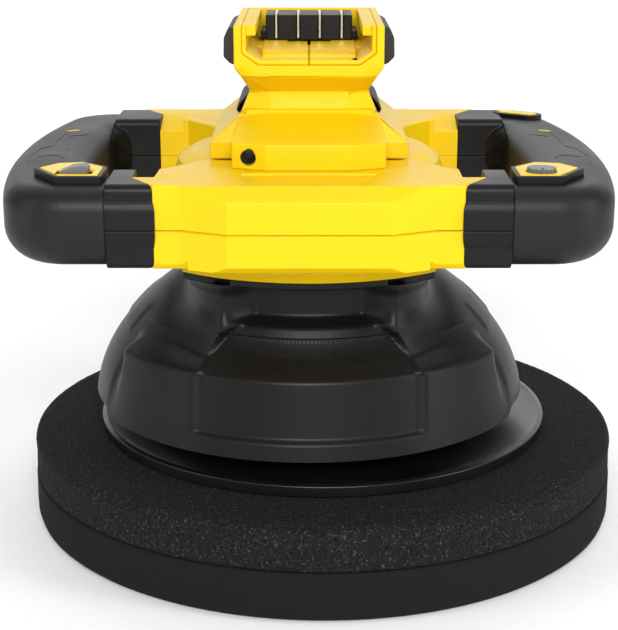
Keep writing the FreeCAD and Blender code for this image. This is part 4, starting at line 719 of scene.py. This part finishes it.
# %% Foam discs
PAD_CENTRE = Vector(((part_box("pad_face_foam")[0].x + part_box("pad_face_foam")[1].x) / 2, 0.0, 0.0))
PAD_RADIUS = (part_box("pad_face_foam")[1].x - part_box("pad_face_foam")[0].x) / 2


def turned(profile, steps, centre, step_mm=None, fine_from=0.0):
    """Spins a profile of (radius, height) points in mm round an upright axis into a closed solid.
    Runs that reach past fine_from are divided every step_mm."""
    work = bmesh.new()
    points = []
    for (r0, z0), (r1, z1) in zip(profile, profile[1:]):
        length = math.hypot(r1 - r0, z1 - z0)
        fine = step_mm and min(r0, r1) >= fine_from
        count = max(1, round(length / step_mm)) if fine else 1
        points += [(r0 + (r1 - r0) * k / count, z0 + (z1 - z0) * k / count) for k in range(count)]
    points.append(profile[-1])
    ring = [work.verts.new(centre + Vector((r * MM, 0.0, z * MM))) for r, z in points]
    edges = [work.edges.new(pair) for pair in zip(ring, ring[1:])]
    bmesh.ops.spin(work, geom=ring + edges, cent=centre, axis=(0, 0, 1), angle=2 * math.pi, steps=steps,
                   use_merge=True, use_duplicate=False)
    bmesh.ops.remove_doubles(work, verts=work.verts[:], dist=0.01 * MM)
    bmesh.ops.recalc_face_normals(work, faces=work.faces[:])
    return work


def pitted(work, cell_mm, depth_mm):
    """Moves each point inwards by a noise of two sizes, cell_mm and under half of it."""
    work.normal_update()
    for vert in work.verts:
        at = vert.co / (cell_mm * MM)
        pore = noise.noise(at) * 0.6 + noise.noise(at * 2.3) * 0.4
        vert.co -= vert.normal * (depth_mm * MM * (0.5 + 0.5 * pore))


R = PAD_RADIUS / MM
core_profile = [(0, 38.9), (60, 38.95), (93, 39.0), (98, 38.85), (R - 5, 38.8), (R - 2.6, 38.3), (R - 1.0, 37.2),
                (R - 0.25, 35.2), (R - 0.55, 30), (R - 0.3, 24.5), (R - 0.3, 21.9), (R - 0.7, 21.3), (R - 1.6, 21.05),
                (60, 21.0), (0, 21.0)]
work = turned(core_profile, 720, PAD_CENTRE, 1.15, 90.0)
pitted(work, 1.7, 0.5)
mesh = finished_mesh(work, "coarse_foam_sheet", smooth=True)
core_foam = own_piece("coarse_foam_sheet", mesh, "pad_assembly", "coarse_foam", ["pad_core_foam"])

face_profile = [(0, 0.1), (100, 0.1), (R - 6, 0.15), (R - 2.6, 0.7), (R - 0.9, 2.2), (R - 0.1, 5.0), (R, 9.0),
                (R - 0.1, 15.5), (R - 0.15, 20.0), (R - 0.5, 20.7), (R - 1.6, 20.95), (0, 20.95)]
work = turned(face_profile, 480, PAD_CENTRE, 1.7, R - 7)
pitted(work, 1.1, 0.14)
mesh = finished_mesh(work, "dense_foam_sheet", smooth=True)
face_foam = own_piece("dense_foam_sheet", mesh, "pad_assembly", "dense_foam", ["pad_face_foam"])
print("foam faces", len(core_foam.data.polygons), len(face_foam.data.polygons))

# %% [markdown]
# ## Floor and light
# The tool stands on a plain pale floor that curves up behind it, so there is no horizon line.
# The light is the usual one for a catalogue: a soft box high in front, two strip boxes at the sides that draw
# the long highlights on the cover and the handles, a weak box above, one more that whitens the paper behind, and
# a pale room that fills the shadows.

# %% Floor and lights
floor_material, tree, where, shader = new_material("matt_white_paper")
fibre = add(tree, "ShaderNodeTexNoise", {"Vector": (where, "Object"), "Scale": per_metre(4.0), "Detail": 3.0})
paper = add(tree, "ShaderNodeMix", {0: (fibre, "Fac"), 6: colour("#f4f4f3"), 7: colour("#f8f8f8")},
            data_type="RGBA")
tree.links.new(paper.outputs[2], shader.inputs["Base Color"])
shader.inputs["Roughness"].default_value = 0.9
shader.inputs["Specular IOR Level"].default_value = 0.1

sweep = bmesh.new()
profile = [(-2.0, 0.0), (1.1, 0.0), (1.35, 0.05), (1.5, 0.2), (1.55, 0.45), (1.55, 2.2)]
row = [sweep.verts.new((-3.0, y, z)) for y, z in profile]
edges = [sweep.edges.new(pair) for pair in zip(row, row[1:])]
grown = bmesh.ops.extrude_edge_only(sweep, edges=edges)["geom"]
bmesh.ops.translate(sweep, verts=[g for g in grown if isinstance(g, bmesh.types.BMVert)], vec=(6.0, 0.0, 0.0))
bmesh.ops.recalc_face_normals(sweep, faces=sweep.faces[:])
mesh = finished_mesh(sweep, "paper_sweep", smooth=True)
mesh.materials.append(floor_material)
floor = bpy.data.objects.new("paper_sweep", mesh)
bpy.context.scene.collection.objects.link(floor)
floor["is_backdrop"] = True


def soft_box(name, place, target, size, power):
    """A rectangular area light aimed at a point."""
    light = bpy.data.lights.new(name, "AREA")
    light.shape = "RECTANGLE"
    light.size, light.size_y = size
    light.energy = power
    lamp = bpy.data.objects.new(name, light)
    lamp.location = place
    lamp.rotation_euler = (Vector(target) - Vector(place)).to_track_quat("-Z", "Y").to_euler()
    bpy.context.scene.collection.objects.link(lamp)


soft_box("front_box", (0.0, -1.6, 0.95), (0, 0, 0.15), (0.8, 0.6), 27.0)
soft_box("left_strip", (-1.25, -0.55, 0.55), (0, 0, 0.12), (0.35, 1.1), 3.5)
soft_box("right_strip", (1.25, -0.55, 0.55), (0, 0, 0.12), (0.35, 1.1), 8.0)
soft_box("top_box", (0.0, 0.15, 1.5), (0, 0, 0.1), (1.2, 1.0), 3.0)
soft_box("backdrop_box", (0.0, 0.75, 1.3), (0, 1.6, 0.35), (2.4, 0.5), 12.0)

world = bpy.data.worlds.new("pale_room")
world.use_nodes = True
world.node_tree.nodes["Background"].inputs["Color"].default_value = colour("#f3f5f8")
world.node_tree.nodes["Background"].inputs["Strength"].default_value = 0.32
bpy.context.scene.world = world
bpy.context.scene.view_settings.view_transform = "Standard"

# %% Finish
low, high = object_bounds()
print("visual box in mm", [round(v / MM, 1) for v in low], [round(v / MM, 1) for v in high])
